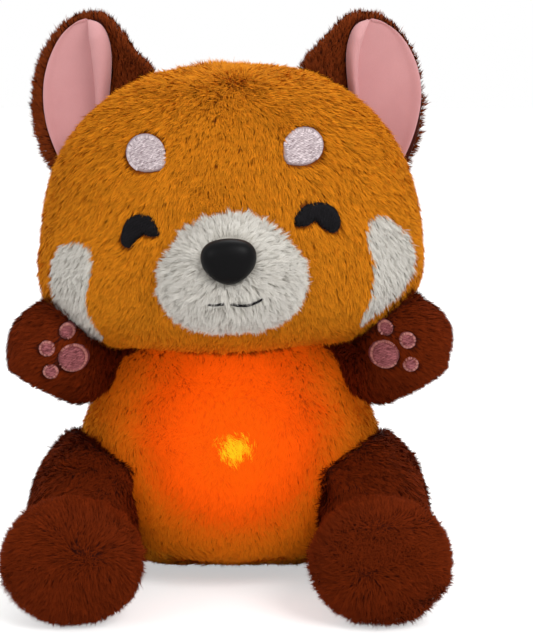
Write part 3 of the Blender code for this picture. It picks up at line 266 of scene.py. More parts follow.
def make_fibre_group():
    tree, given = shader_group("fibre_tone", {"Root": (0.1, 0.05, 0.02, 1), "Tip": (0.5, 0.3, 0.1, 1), "Spread": 0.5})
    tone, along = strand_map(tree)
    # Painted shade: the colour runs from the darker root colour to the paler tip colour.
    body = mix_colour(tree, math_node(tree, "POWER", along, 0.75), given["Root"], given["Tip"])
    swing = math_node(tree, "MULTIPLY", math_node(tree, "SUBTRACT", tone, 0.5), given["Spread"])
    toned = scaled_colour(tree, body, math_node(tree, "ADD", swing, 1.0))
    rough = math_node(tree, "ADD", math_node(tree, "MULTIPLY", along, -0.15), 0.85)
    return close_group(tree, Color=toned, Roughness=rough)


fibre_tone = make_fibre_group()


def pile_material(name, root, tip, spread, sheen):
    material, tree, sockets = new_material(name, sheen=sheen, specular=0.04)
    sockets["Sheen Tint"].default_value = tip
    tone = use_group(tree, fibre_tone, Root=root, Tip=tip, Spread=spread)
    feed(tree, sockets["Base Color"], tone["Color"])
    feed(tree, sockets["Roughness"], tone["Roughness"])
    return material


# Each pile's root colour is a darker copy of its tip colour: painted shade.
ORANGE_PILE = pile_material("orange_pile", colour(168, 82, 4), colour(232, 146, 30), 0.55, 0.15)
BROWN_PILE = pile_material("brown_pile", colour(78, 20, 2), colour(118, 42, 10), 0.5, 0.15)
EAR_PILE = pile_material("ear_pile", colour(84, 28, 6), colour(134, 60, 24), 0.5, 0.15)
WHITE_PILE = pile_material("white_pile", colour(200, 194, 183), colour(229, 226, 219), 0.2, 0.05)

# %% [markdown]
# The belly is lit from inside. Near the lamp the pile turns from orange to a hot orange red, and
# right in front of the light a few fibres shine yellow. Here the fibre map's first number says
# how much light comes through, so the same number gives base colour and glow.

# %% Glowing pile
def make_belly_pile():
    material, tree, sockets = new_material("belly_pile", specular=0.02)
    light, along = strand_map(tree)
    # Painted shade: out of the light, the belly's root and tip colours are darker copies of the orange pile's.
    root = ramp(tree, light, ((0.0, (146, 70, 6)), (0.5, (90, 30, 4)), (0.8, (20, 6, 2))))
    tip = ramp(tree, light, ((0.0, (217, 127, 24)), (0.5, (150, 60, 8)), (0.8, (40, 12, 2))))
    feed(tree, sockets["Base Color"], mix_colour(tree, math_node(tree, "POWER", along, 0.75), root, tip))
    glow = ramp(tree, light, (
        (0.0, (0, 0, 0)), (0.1, (90, 40, 2)), (0.25, (136, 58, 3)), (0.5, (198, 68, 3)), (0.68, (246, 82, 5)),
        (0.8, (254, 92, 6)), (0.93, (252, 76, 5)), (0.955, (252, 120, 8)), (1.0, (255, 205, 26))))
    level = math_node(tree, "ADD", math_node(tree, "MULTIPLY", along, 0.2), 0.86)
    shine_out(material, scaled_colour(tree, glow, level), 1.0)
    return material


BELLY_PILE = make_belly_pile()

# %% [markdown]
# Under the pile lies a knitted backing cloth. It shows only in creases, in the sockets of the
# limbs and inside the battery pocket. Fine ribs and a soft mottle keep it from looking painted.
# The torso's own cloth glows where the lamp stands behind it.

# %% Backing cloth
def make_cloth_group():
    tree, given = shader_group("knit_cloth", {"Dark": (0.1, 0.1, 0.1, 1), "Pale": (0.2, 0.2, 0.2, 1),
                                              "Rib Scale": 900.0})
    ribs = pattern(tree, "Wave", given["Rib Scale"], Distortion=2.0, Detail=1.0)
    share = math_node(tree, "MULTIPLY_ADD", pattern(tree, "Noise", 90), 0.5, math_node(tree, "MULTIPLY", ribs, 0.5))
    return close_group(tree, Color=mix_colour(tree, share, given["Dark"], given["Pale"]), Height=share)


knit_cloth = make_cloth_group()


def cloth_material(name, dark, pale, rib_scale=900.0):
    material, tree, sockets = new_material(name, 0.9, 0.0, 0.15)
    cloth = use_group(tree, knit_cloth, Dark=dark, Pale=pale, Rib_Scale=rib_scale)
    feed(tree, sockets["Base Color"], cloth["Color"])
    emboss(tree, cloth["Height"], 0.3, 0.0004)
    return material


LIT_WIDE, LIT_HIGH = 0.05, 0.055


def lit_backing(name, dark, pale):
    material = cloth_material(name, dark, pale)
    tree = material.node_tree
    place = add_node(tree, "ShaderNodeTexCoord")
    spot = add_node(tree, "ShaderNodeMapping", {
        "Vector": place.outputs["Object"], "Location": (-0.003 / LIT_WIDE, 0.060 / LIT_WIDE, -0.082 / LIT_HIGH),
        "Scale": (1 / LIT_WIDE, 1 / LIT_WIDE, 1 / LIT_HIGH)})
    far = add_node(tree, "ShaderNodeVectorMath", {0: spot.outputs[0]}, operation="LENGTH")
    glow = ramp(tree, far.outputs["Value"], (
        (0.0, (236, 78, 5)), (0.5, (226, 70, 4)), (0.8, (120, 32, 2)), (1.0, (0, 0, 0))))
    shine_out(material, glow, 0.8)
    return material


KNIT_ORANGES = colour(104, 46, 6), colour(150, 76, 12)
ORANGE_CLOTH = cloth_material("orange_backing", *KNIT_ORANGES)
BROWN_CLOTH = cloth_material("brown_backing", colour(44, 12, 5), colour(74, 24, 10))
TORSO_CLOTH = lit_backing("torso_backing", *KNIT_ORANGES)
WHITE_CLOTH = cloth_material("white_backing", colour(176, 172, 162), colour(206, 202, 194))

# %% [markdown]
# Stuffed forms. Each plush part of the toy is a closed skin filled with fibre. A copy of the CAD
# solid is merged, remeshed into even small faces and smoothed, because a sewn skin has no sharp
# edge. Where pile will grow, the skin lies deeper by the pile's height, so that the tips of the
# fibres end where the solid's surface is. Where another part lies close, in a socket or a crease,
# it stays and grows no pile.

# %% Skins
PILE = 1.5 * MM
SIDES = (("left", 1), ("right", -1))
SOFT_NODES = ("torso", "head", "muzzle", *(f"{side}_{part}" for part in ("ear", "arm", "leg", "foot")
                                           for side, _ in SIDES),
              "back_flap", "battery_case", *(f"tail_band_{index}" for index in range(1, 6)))


def arrays_of(mesh):
    mesh.calc_loop_triangles()
    points = np.empty(len(mesh.vertices) * 3)
    mesh.vertices.foreach_get("co", points)
    corners = np.empty(len(mesh.loop_triangles) * 3, dtype=np.int64)
    mesh.loop_triangles.foreach_get("vertices", corners)
    return points.reshape(-1, 3), corners.reshape(-1, 3)


def vertex_normals(mesh):
    normals = np.empty(len(mesh.vertices) * 3)
    mesh.vertex_normals.foreach_get("vector", normals)
    return normals.reshape(-1, 3)


def set_points(mesh, points):
    mesh.vertices.foreach_set("co", points.astype(np.float32).ravel())
    mesh.update()


def points_of(item):
    return arrays_of(item.data)[0]


def edges_of(mesh):
    edges = np.empty(len(mesh.edges) * 2, dtype=np.int64)
    mesh.edges.foreach_get("vertices", edges)
    return edges.reshape(-1, 2)


def finished_mesh(shape, name, material=None):
    """The bmesh as a smooth mesh with its material."""
    mesh = bpy.data.meshes.new(name)
    shape.to_mesh(mesh)
    shape.free()
    mesh.shade_smooth()
    if material:
        mesh.materials.append(material)
    return mesh


def merged_copy(name, node):
    """A mesh like a CAD node's, with its loose triangles merged."""
    shape = bmesh.new()
    shape.from_mesh(NODES[node].data)
    bmesh.ops.remove_doubles(shape, verts=shape.verts, dist=0.01 * MM)
    return finished_mesh(shape, name)


def evaluated(item, name):
    """The item with its modifiers applied, as one plain mesh in its place."""
    bpy.context.view_layer.update()
    graph = bpy.context.evaluated_depsgraph_get()
    mesh = bpy.data.meshes.new_from_object(item.evaluated_get(graph))
    mesh.name = name
    item.modifiers.clear()
    old, item.data = item.data, mesh
    bpy.data.meshes.remove(old)
    return item


def remeshed(item, size):
    modifier = item.modifiers.new("even_faces", "REMESH")
    modifier.mode = "VOXEL"
    modifier.voxel_size = size
    modifier.use_smooth_shade = True
    return evaluated(item, item.name)


def relax(mesh, rounds, amount=0.5, keep=None):
    """Draws each point towards the middle of its neighbours."""
    points = arrays_of(mesh)[0]
    edges = edges_of(mesh)
    count = np.bincount(edges.ravel(), minlength=len(points)).clip(1)[:, None]
    share = amount if keep is None else amount * (1 - keep)[:, None]
    for _ in range(rounds):
        total = np.zeros_like(points)
        np.add.at(total, edges[:, 0], points[edges[:, 1]])
        np.add.at(total, edges[:, 1], points[edges[:, 0]])
        points += (total / count - points) * share
    set_points(mesh, points)


def tree_of(nodes):
    """A search tree over the faces of some CAD nodes."""
    points, faces, start = [], [], 0
    for node in nodes:
        at, corners = arrays_of(NODES[node].data)
        points.append(at)
        faces.append(corners + start)
        start += len(at)
    points = np.concatenate(points)
    return BVHTree.FromPolygons(points.tolist(), np.concatenate(faces).tolist())


def tree_over(item):
    points, faces = arrays_of(item.data)
    return BVHTree.FromPolygons(points.tolist(), faces.tolist())


def ease(value, low, high):
    """0 below low, 1 above high, smooth between."""
    share = ((value - low) / (high - low)).clip(0, 1)
    return share * share * (3 - 2 * share)


def cover_of(points, normals, tree, reach, lift=0.2 * MM):
    """1 for each point whose way out is closed within a reach, else 0."""
    found = np.zeros(len(points))
    for index in range(len(points)):
        way = Vector(normals[index])
        start = Vector(points[index]) + way * lift
        if tree.ray_cast(start, way, reach)[0] is not None:
            found[index] = 1
    return found


def set_attribute(mesh, name, kind, values):
    layer = mesh.attributes.get(name) or mesh.attributes.new(name, kind, "POINT")
    layer.data.foreach_set("vector" if kind == "FLOAT_VECTOR" else "value", values.astype(np.float32).ravel())


def stuffed_skin(name, node, size, rounds, pile, material):
    """The remeshed, smoothed and sunk skin of a soft CAD node."""
    item = remeshed(add_object(name, merged_copy(name, node)), size)
    mesh = item.data
    relax(mesh, rounds)
    points = arrays_of(mesh)[0]
    normals = vertex_normals(mesh)
    others = tree_of([other for other in SOFT_NODES if other != node])
    own = tree_of([node])
    cover = cover_of(points, normals, others, 1.4 * MM)
    cover = np.maximum(cover, cover_of(points, normals, own, 60 * MM, 3 * MM))
    set_attribute(mesh, "cover", "FLOAT", cover)
    edges = edges_of(mesh)
    soft = cover.copy()
    for _ in range(2):
        grown = soft.copy()
        np.maximum.at(grown, edges[:, 0], soft[edges[:, 1]] * 0.66)
        np.maximum.at(grown, edges[:, 1], soft[edges[:, 0]] * 0.66)
        soft = grown
    set_points(mesh, points - normals * (pile * (1 - soft))[:, None])
    mesh.materials.clear()
    mesh.materials.append(material)
    print(name, "faces", len(mesh.polygons), "covered share", round(float(cover.mean()), 2))
    return item


SKIN_PLANS = [("torso", 4, 6, PILE, TORSO_CLOTH), ("head", 4, 6, PILE, ORANGE_CLOTH),
              ("muzzle", 2.6, 3, 3.2 * MM, WHITE_CLOTH)]
for side, _ in SIDES:
    SKIN_PLANS += [(f"{side}_arm", 3.2, 5, PILE, BROWN_CLOTH), (f"{side}_leg", 3.8, 6, PILE, BROWN_CLOTH),
                   (f"{side}_foot", 3.2, 5, PILE, BROWN_CLOTH), (f"{side}_ear", 2.2, 4, 1.6 * MM, BROWN_CLOTH)]
SKIN_PLANS += [(f"tail_band_{index}", 2.6, 3, PILE, BROWN_CLOTH if index % 2 else ORANGE_CLOTH)
               for index in range(1, 6)]
SKIN_PLANS.append(("back_flap", 1.3, 2, 1.0 * MM, ORANGE_CLOTH))
SKINS = {node: stuffed_skin(f"{node}_skin", node, face * MM, rounds, pile, cloth)
         for node, face, rounds, pile, cloth in SKIN_PLANS}

# %% [markdown]
# Where stuffed parts meet they press on each other and bulge. The head's low sides and the raised
# arms come together, the torso closes over the arms' roots, the thighs make room for the belly,
# and the seat turns under in front before it meets the floor.

# %% Pressed forms
SHOULDERS = [np.array([way * 46, -14, 109]) * MM for _, way in SIDES]


def swell(item, share, height):
    """Moves a skin's points out along its own normals, each by its share of a height."""
    set_points(item.data, points_of(item) + vertex_normals(item.data) * (height * share)[:, None])


def fill_shoulders(item):
    """The torso's cloth is drawn tight across the hollows behind its shoulders."""
    points = points_of(item)
    hold = np.ones(len(points))
    for centre in SHOULDERS:
        far = np.linalg.norm(points - centre, axis=1) / MM
        hold = np.minimum(hold, ease(far, 24, 29))
    relax(item.data, 70, 0.5, hold)
    swell(item, 1 - hold, 3 * MM)


def tuck_seat(item):
    points = points_of(item)
    low = ease(-points[:, 2], -26 * MM, 0)
    front = ease(-points[:, 1], 0, 44 * MM)
    middle = 1 - ease(np.abs(points[:, 0]), 18 * MM, 62 * MM)
    points[:, 1] += 7 * MM * low * front
    points[:, 2] += (1.5 + 6.5 * middle) * MM * low * front
    set_points(item.data, points)


def draw_back_root(item):
    """The arm's root goes back, so the torso closes over it in front."""
    points = points_of(item)
    share = 0.3 + 0.7 * ease(np.abs(points[:, 0]), 50 * MM, 74 * MM)
    front = points[:, 1] < -8 * MM
    points[front, 1] = -8 * MM + (points[front, 1] + 8 * MM) * share[front]
    set_points(item.data, points)


def flatten_paw(item, way):
    """The raised paw is flat along its outer underside."""
    points = points_of(item)
    corner = np.array([way * 100, -40, 109.6]) * MM
    out = np.array([way * 0.5, -0.15, -0.85])
    past = ((points - corner) @ out).clip(0, None)
    set_points(item.data, points - out * (0.85 * past)[:, None])


def fill_paw(item):
    """More stuffing in the top outer corner of a paw."""
    points = points_of(item)
    share = ease(np.abs(points[:, 0]), 78 * MM, 100 * MM) * ease(points[:, 2], 120 * MM, 138 * MM)
    swell(item, share, 3.6 * MM)


def open_thigh(item, way):
    points = points_of(item)
    out, front = np.abs(points[:, 0]) / MM, ease(-points[:, 1], 5 * MM, 30 * MM)
    low = 1 - ease(points[:, 2], 54 * MM, 70 * MM)
    inward = (54 - out).clip(0, None) * 0.55 * low - 4 * (1 - low) * (1 - ease(out, 50, 66))
    points[:, 0] += way * inward * MM * front
    set_points(item.data, points)


def swell_jaw(item):
    """The head's low sides, which sag out over the arms."""
    points = points_of(item)
    side = ease(np.abs(points[:, 0]), 40 * MM, 66 * MM)
    height = ease(points[:, 2], 116 * MM, 130 * MM) * (1 - ease(points[:, 2], 148 * MM, 182 * MM))
    swell(item, side * height, 3.4 * MM)


def lean_on(item, other, reach, share, leave):
    """Points close to a neighbour move towards it, but leave a small gap."""
    points = points_of(item)
    tree = tree_over(other)
    for index in range(len(points)):
        spot, _, _, gap = tree.find_nearest(Vector(points[index]), reach)
        if spot is not None and gap > leave:
            move = (gap - leave) * share * (1 - (gap / reach) ** 3)
            points[index] += (np.array(spot) - points[index]) / gap * move
    set_points(item.data, points)


def find_cover(item, others):
    """Marks again where pile can't grow: close under, or inside, a neighbour's skin or its own fold."""
    points = points_of(item)
    normals = vertex_normals(item.data)
    cover = cover_of(points, normals, tree_over(item), 60 * MM, 3 * MM)
    for tree in [tree_over(SKINS[other]) for other in others]:
        for index in range(len(points)):
            way = Vector(normals[index])
            spot, facing, _, gap = tree.ray_cast(Vector(points[index]) + way * 0.2 * MM, way, 40 * MM)
            if spot is not None and (gap < 1.0 * MM or facing.dot(way) > 0):
                cover[index] = 1
    set_attribute(item.data, "cover", "FLOAT", cover)


fill_shoulders(SKINS["torso"])
tuck_seat(SKINS["torso"])
swell_jaw(SKINS["head"])
fill_paw(SKINS["left_arm"])
for side, way in SIDES:
    draw_back_root(SKINS[f"{side}_arm"])
    flatten_paw(SKINS[f"{side}_arm"], way)
    open_thigh(SKINS[f"{side}_leg"], way)
    lean_on(SKINS[f"{side}_arm"], SKINS["head"], 11 * MM, 0.8, 0.8 * MM)
    relax(SKINS[f"{side}_arm"].data, 2, 0.4)
for side, _ in SIDES:
    find_cover(SKINS[f"{side}_arm"], ("torso",))
    find_cover(SKINS[f"{side}_leg"], ("torso", f"{side}_foot"))
find_cover(SKINS["torso"], ("left_arm", "right_arm", "left_leg", "right_leg", "tail_band_1"))

# %% [markdown]
# Each ear is a shell set into the head's side, a little turned. Its sewn edge is drawn in by the
# seam, more on the side towards the head, so the skin is narrowed there before its pile grows.

# %% Ear edges
EAR_YAW = math.radians(14)
EAR_SEAT = (71, -2, 243)


def ear_place(side, u, depth, v):
    """World place of a point on the ear: outward, backward and up from its seat."""
    x, turn = side * u, side * EAR_YAW
    return ((side * EAR_SEAT[0] + x * math.cos(turn) - depth * math.sin(turn)) * MM,
            (EAR_SEAT[1] + x * math.sin(turn) + depth * math.cos(turn)) * MM, (EAR_SEAT[2] + v) * MM)


def ear_local(at, side):
    """Outward, backward and up of world places, in millimetres from the ear's seat."""
    dx, dy = at[:, 0] / MM - side * EAR_SEAT[0], at[:, 1] / MM - EAR_SEAT[1]
    turn = side * EAR_YAW
    return (side * (dx * math.cos(turn) + dy * math.sin(turn)), -dx * math.sin(turn) + dy * math.cos(turn),
            at[:, 2] / MM - EAR_SEAT[2])


def draw_in_ear(item, side):
    u, depth, v = ear_local(points_of(item), side)
    low = (-v / 42).clip(0, 1)
    outer = 0.935 - (0.04 if side < 0 else 0.02) * low - (0.035 if side > 0 else 0)
    inner = 1 - (0.3 * ease(v, 14, 34) if side < 0 else 0.18 * ease(v, 24, 38))
    u = np.where(u > 0, u * outer, u * inner)
    set_points(item.data, np.stack(ear_place(side, u, depth, v * 0.955), axis=1))


for side, way in SIDES:
    draw_in_ear(SKINS[f"{side}_ear"], way)

# %% [markdown]
# Pile. Real minky plush is a knit with thousands of fine upright fibres that lean in tufts. Each
# fibre here is a narrow bent blade. A node tree makes the blade once, sets it on
# every root point, turns it to that root's own aim and writes the map that its colour reads. The
# roots are drawn by code, because masks such as eyes and pads need exact edges. A blade is a leaf
# of two faces, pointed at both ends and bent in its middle.

# %% Blade tree
def named(tree, label, kind="FLOAT"):
    return add_node(tree, "GeometryNodeInputNamedAttribute", {"Name": label}, data_type=kind).outputs["Attribute"]


def vector(tree, *parts):
    return add_node(tree, "ShaderNodeCombineXYZ", enumerate(parts)).outputs[0]


def make_strand_tree(name, rows, columns, sharp):
    """A tree that sets one blade or thread on each point. A sharp one ends in a tip."""
    tree = bpy.data.node_groups.new(name, "GeometryNodeTree")
    ids = {}
    for label, kind in (("Geometry", "Geometry"), ("Bend", "Float"), ("Finish", "Material")):
        socket = tree.interface.new_socket(label, in_out="INPUT", socket_type=f"NodeSocket{kind}")
        ids[label] = socket.identifier
    tree.interface.new_socket("Geometry", in_out="OUTPUT", socket_type="NodeSocketGeometry")
    given = tree.nodes.new("NodeGroupInput").outputs

    place = add_node(tree, "GeometryNodeInputPosition")
    parts = add_node(tree, "ShaderNodeSeparateXYZ", {0: place.outputs[0]}).outputs
    along = math_node(tree, "ADD", parts[1], 0.5)
    double = math_node(tree, "MULTIPLY", parts[1], 2.0)
    if sharp:
        width = math_node(tree, "SUBTRACT", 1.0, math_node(tree, "ABSOLUTE", double))
        drop = math_node(tree, "MULTIPLY", math_node(tree, "MULTIPLY", along, along), given["Bend"])
        height = math_node(tree, "MULTIPLY", drop, -1.0)
        across = math_node(tree, "MULTIPLY", parts[0], width)
    else:
        end = math_node(tree, "POWER", math_node(tree, "ABSOLUTE", double), 4.0)
        slope = math_node(tree, "MULTIPLY", parts[0], 2.0)
        round_share = math_node(tree, "SUBTRACT", 1.0, math_node(tree, "MULTIPLY", slope, slope))
        bulge = math_node(tree, "MULTIPLY", round_share, math_node(tree, "SUBTRACT", 1.0, end))
        height = math_node(tree, "MULTIPLY", bulge, given["Bend"])
        across = parts[0]
    long, wide = named(tree, "long"), named(tree, "wide")
    turn = add_node(tree, "FunctionNodeAxesToRotation", {0: named(tree, "aim", "FLOAT_VECTOR"),
                    1: named(tree, "face", "FLOAT_VECTOR")}, primary_axis="Y", secondary_axis="Z")

    strand = add_node(tree, "GeometryNodeMeshGrid", {"Size X": 1, "Size Y": 1, "Vertices X": columns,
                                                     "Vertices Y": rows}).outputs["Mesh"]
    roots = add_node(tree, "GeometryNodeMeshToPoints", {"Mesh": given["Geometry"]}).outputs[0]
    for kind, inputs, settings in (
            ("StoreNamedAttribute", {"Name": "along", "Value": along}, {"data_type": "FLOAT", "domain": "POINT"}),
            ("SetPosition", {"Position": vector(tree, across, along, height)}, {}),
            ("MergeByDistance", {"Distance": 0.0005}, {})):
        strand = add_node(tree, f"GeometryNode{kind}", {"Geometry": strand, **inputs}, **settings).outputs[0]
    shape = add_node(tree, "GeometryNodeInstanceOnPoints", {
        "Points": roots, "Instance": strand, "Rotation": turn.outputs[0],
        "Scale": vector(tree, wide, long, long if sharp else wide)}).outputs[0]
    for kind, inputs, settings in (
            ("RealizeInstances", {}, {}),
            ("StoreNamedAttribute", {"Name": "OFBake", "Value": vector(tree, named(tree, "tone"),
             named(tree, "along"))}, {"data_type": "FLOAT2", "domain": "CORNER"}),
            ("SetShadeSmooth", {}, {}), ("SetMaterial", {"Material": given["Finish"]}, {})):
        shape = add_node(tree, f"GeometryNode{kind}", {"Geometry": shape, **inputs}, **settings).outputs[0]
    add_node(tree, "NodeGroupOutput", {0: shape})
    return tree, ids


BLADE_TREE = make_strand_tree("plush_blades", 3, 2, True)
THREAD_TREE = make_strand_tree("stitch_threads", 5, 3, False)


def strand_mesh(name, tree_and_ids, roots, aims, faces, longs, wides, tones, bend, material, softness=0.0,
                skin_normals=None):
    """One plain mesh with a blade or thread on every root."""
    tree, ids = tree_and_ids
    mesh = bpy.data.meshes.new(f"{name}_roots")
    mesh.vertices.add(len(roots))
    set_points(mesh, roots)
    values = {"aim": aims, "face": faces, "long": longs, "wide": wides, "tone": np.clip(tones, 0.004, 0.996)}
    for label, value in values.items():
        set_attribute(mesh, label, "FLOAT" if value.ndim == 1 else "FLOAT_VECTOR", value)
    item = add_object(name, mesh)
    modifier = item.modifiers.new("strands", "NODES")
    modifier.node_group = tree
    modifier[ids["Bend"]] = bend
    modifier[ids["Finish"]] = material
    evaluated(item, name)
    mesh = item.data
    for label in (*values, "along"):
        if mesh.attributes.get(label):
            mesh.attributes.remove(mesh.attributes[label])
    if skin_normals is not None and softness > 0:
        wanted = np.repeat(skin_normals, len(mesh.vertices) // len(roots), axis=0)
        mixed = vertex_normals(mesh) * (1 - softness) + wanted * softness
        mixed /= np.linalg.norm(mixed, axis=1, keepdims=True).clip(1e-9)
        mesh.normals_split_custom_set_from_vertices(mixed.tolist())
    return item


# %% [markdown]
# Roots are drawn evenly over a skin's faces. Neighbouring fibres lean together: each belongs to a
# tuft, and its tip is drawn towards the tuft's own tip. The comb says which way the pile was
# brushed, and a seeded generator keeps every run the same.

# %% Growing pile
def scatter(item, per_mm2, rng):
    """Even random places on a skin, with its normals and its cover there."""
    mesh = item.data
    points, corners = arrays_of(mesh)
    normals, cover = vertex_normals(mesh), np.empty(len(points), dtype=np.float32)
    mesh.attributes["cover"].data.foreach_get("value", cover)
    a, b, c = (points[corners[:, k]] for k in range(3))
    areas = np.linalg.norm(np.cross(b - a, c - a), axis=1) / 2
    total = int(areas.sum() * 1e6 * per_mm2 * LOOSE)
    chosen = rng.choice(len(corners), total, p=areas / areas.sum())
    u, v = rng.random(total), rng.random(total)
    flip = u + v > 1
    u[flip], v[flip] = 1 - u[flip], 1 - v[flip]
    shares = np.stack([1 - u - v, u, v], axis=1)[:, :, None]
    picked = corners[chosen]
    at = (points[picked] * shares).sum(axis=1)
    out = (normals[picked] * shares).sum(axis=1)
    out /= np.linalg.norm(out, axis=1, keepdims=True)
    closed = (cover[picked] * shares[:, :, 0]).sum(axis=1)
    return at, out, closed


FLOOR_ROOM = 0.6 * MM
LOWEST = 0.3 * MM
BESIDE = 8 * MM


def unit(vectors):
    return vectors / np.linalg.norm(vectors, axis=1, keepdims=True).clip(1e-9)


def grow_pile(name, skin, per_mm2, length, width, flow, material, seed, keep, stand=0.5, tuft=1.5 * MM,
              gather=0.2, ruffle=0.1, tone=None, bend=0.2, softness=0.75, beside=None):
    """Pile on a skin. flow(points, normals) says how it is combed, keep(points, normals) where it grows."""
    rng = np.random.default_rng(seed)
    at, out, closed = scatter(skin, per_mm2, rng)
    wanted = (closed < 0.5) & ((at[:, 2] > 3 * MM) | (out[:, 2] > -0.6))
    if keep is not None:
        wanted &= keep(at, out)
    at, out = at[wanted], out[wanted]
    count = len(at)
    combed = flow(at, out)
    strength = np.linalg.norm(combed, axis=1, keepdims=True).clip(0, 1)
    loose = rng.normal(0, 1, (count, 3))
    loose = unit(loose - out * (loose * out).sum(axis=1, keepdims=True)) * (1 - strength)
    combed = unit(combed - out * (combed * out).sum(axis=1, keepdims=True)) * strength + loose
    centre_share = 1 / ((tuft / MM) ** 2 * per_mm2 * LOOSE)
    is_centre = np.flatnonzero(rng.random(count) < min(1.0, centre_share))
    finder = KDTree(len(is_centre))
    for order, index in enumerate(is_centre):
        finder.insert(at[index], order)
    finder.balance()
    owner = np.fromiter((finder.find(point)[1] for point in at), dtype=np.int64, count=count)
    lean = rng.normal(0, ruffle, (len(is_centre), 3))
    upright = np.full(count, float(stand))
    for index in range(count if beside else 0):
        found = beside.find_nearest(Vector(at[index]), BESIDE)
        if found[0] is not None:
            upright[index] += 1.6 * (1 - found[3] / BESIDE)
    aim = unit(out * upright[:, None] + combed + lean[owner] + rng.normal(0, 0.13, (count, 3)))
    long = length * (1 + rng.normal(0, 0.13, count)).clip(0.6, 1.35)
    long *= (1 + rng.normal(0, 0.1, len(is_centre))).clip(0.75, 1.25)[owner]
    centre = is_centre[owner]
    own_tip = at + aim * long[:, None]
    tuft_tip = at[centre] + aim[centre] * long[centre][:, None]
    aim = unit(own_tip * (1 - gather) + tuft_tip * gather - at)
    below = (aim * out).sum(axis=1)
    aim = unit(aim + out * np.maximum(0, 0.2 - below)[:, None])
    least = (FLOOR_ROOM - at[:, 2]) / long + bend
    aim[:, 2] = np.maximum(aim[:, 2], least.clip(-1, 0.9))
    aim = unit(aim)
    side = unit(np.cross(aim, out))
    roll = rng.normal(0, 0.5, count)[:, None]
    face = np.cross(side, aim) * np.cos(roll) + side * np.sin(roll)
    if tone is None:
        shade = rng.normal(0, 0.14, len(is_centre))[owner] + rng.normal(0, 0.17, count) + 0.5
    else:
        shade = tone(at, rng, owner, len(is_centre))
    wide = width * (1 + rng.normal(0, 0.15, count)).clip(0.5, 1.5)
    item = strand_mesh(name, BLADE_TREE, at, aim, face, long, wide, shade, bend, material, softness, out)
    points = points_of(item)
    if points[:, 2].min() < LOWEST:
        points[:, 2] = np.maximum(points[:, 2], LOWEST)
        set_points(item.data, points)
    print(name, "fibres", count, "triangles", count * 2)
    return item


def constant_flow(x, y, z):
    return lambda at, out: np.tile(np.array([x, y, z], float), (len(at), 1))


def ruffled(flow, share, size, seed):
    """A flow whose way wanders smoothly over the skin, as a handled toy's pile does."""
    rng = np.random.default_rng(seed)
    waves = [(rng.normal(0, 1, (3, 3)) / (size * MM), rng.uniform(0, 6.3, 3)) for _ in range(4)]

    def mixed(at, out):
        wander = sum(np.sin(at @ wave.T + start) for wave, start in waves) / 2
        return flow(at, out) + wander * share

    return mixed


def away_from(x, y, z, down=0.0):
    """Combed outwards from a point, and a little downwards. Near the point the pile stands up."""
    centre = np.array([x, y, z]) * MM

    def flow(at, out):
        off = at - centre
        off -= out * (off * out).sum(axis=1, keepdims=True)
        far = np.linalg.norm(off, axis=1, keepdims=True) / MM
        strength = 1 - np.exp(-(far / 7) ** 2)
        return unit(unit(off) + np.array([0, 0, -down]) * (far / 20).clip(0, 1)) * strength

    return flow


# %% [markdown]
# The head is combed from a whorl on its brow outwards and down. The face's white patches, eyes
# and brows leave their places free.

# %% Head pile
NECK = np.array([4, -5, 116]) * MM
ROLL = math.radians(2.5)


def in_head(at):
    """Places across and up the face, in the head's own frame, in millimetres."""
    off = (at - NECK) / MM
    across = off[:, 0] * math.cos(ROLL) + off[:, 2] * math.sin(ROLL)
    up = -off[:, 0] * math.sin(ROLL) + off[:, 2] * math.cos(ROLL)
    return across, up


def inside_outline(across, up, outline):
    """Which places lie inside a closed outline of (across, up) points."""
    within = np.zeros(len(across), dtype=bool)
    count = len(outline)
    for index in range(count):
        x1, y1 = outline[index]
        x2, y2 = outline[(index + 1) % count]
        crosses = (y1 > up) != (y2 > up)
        meets = (x2 - x1) * (up - y1) / (y2 - y1 + 1e-12) + x1
        within ^= crosses & (across < meets)
    return within


RIGHT_CHEEK_POINTS = ((-74.4, 68.7), (-82, 65.5), (-87.5, 58), (-89.5, 49), (-88, 37.5), (-82.5, 26), (-74, 21),
                      (-65.5, 17), (-68.5, 29), (-71, 38), (-68.5, 50), (-65.3, 60), (-66.5, 67))
LEFT_CHEEK_POINTS = ((72.5, 75.5), (80.5, 70.5), (87, 63), (90.6, 52.5), (89.3, 44.5), (84, 36.5), (74, 29),
                     (66, 22.5), (62, 19), (67, 33), (69, 43.5), (69, 54), (66.5, 65), (67.5, 72))


def smooth_loop(points, steps=4):
    """A closed smooth curve through a few points."""
    curve = []
    count = len(points)
    for index in range(count):
        a, b, c, d = (np.array(points[(index + k) % count], float) for k in (-1, 0, 1, 2))
        for step in range(steps):
            t = step / steps
            curve.append(tuple((2 * b + (c - a) * t + (2 * a - 5 * b + 4 * c - d) * t * t
                                + (3 * b - a - 3 * c + d) * t ** 3) / 2))
    return curve


def drop_outline(centre_x, centre_z, radius, flat, tail_share, tail_angle, spread, sides=48):
    """A round spot, a little flatter than wide, drawn out softly towards one side."""
    points = []
    for step in range(sides):
        angle = 2 * math.pi * step / sides
        turn = math.remainder(angle - tail_angle, 2 * math.pi)
        reach = radius * (1 + tail_share * math.exp(-(turn / spread) ** 2))
        points.append((centre_x + reach * math.cos(angle), centre_z + reach * flat * math.sin(angle)))
    return points


def placed(points, across, up):
    return [(x + across, z + up) for x, z in smooth_loop(points)]


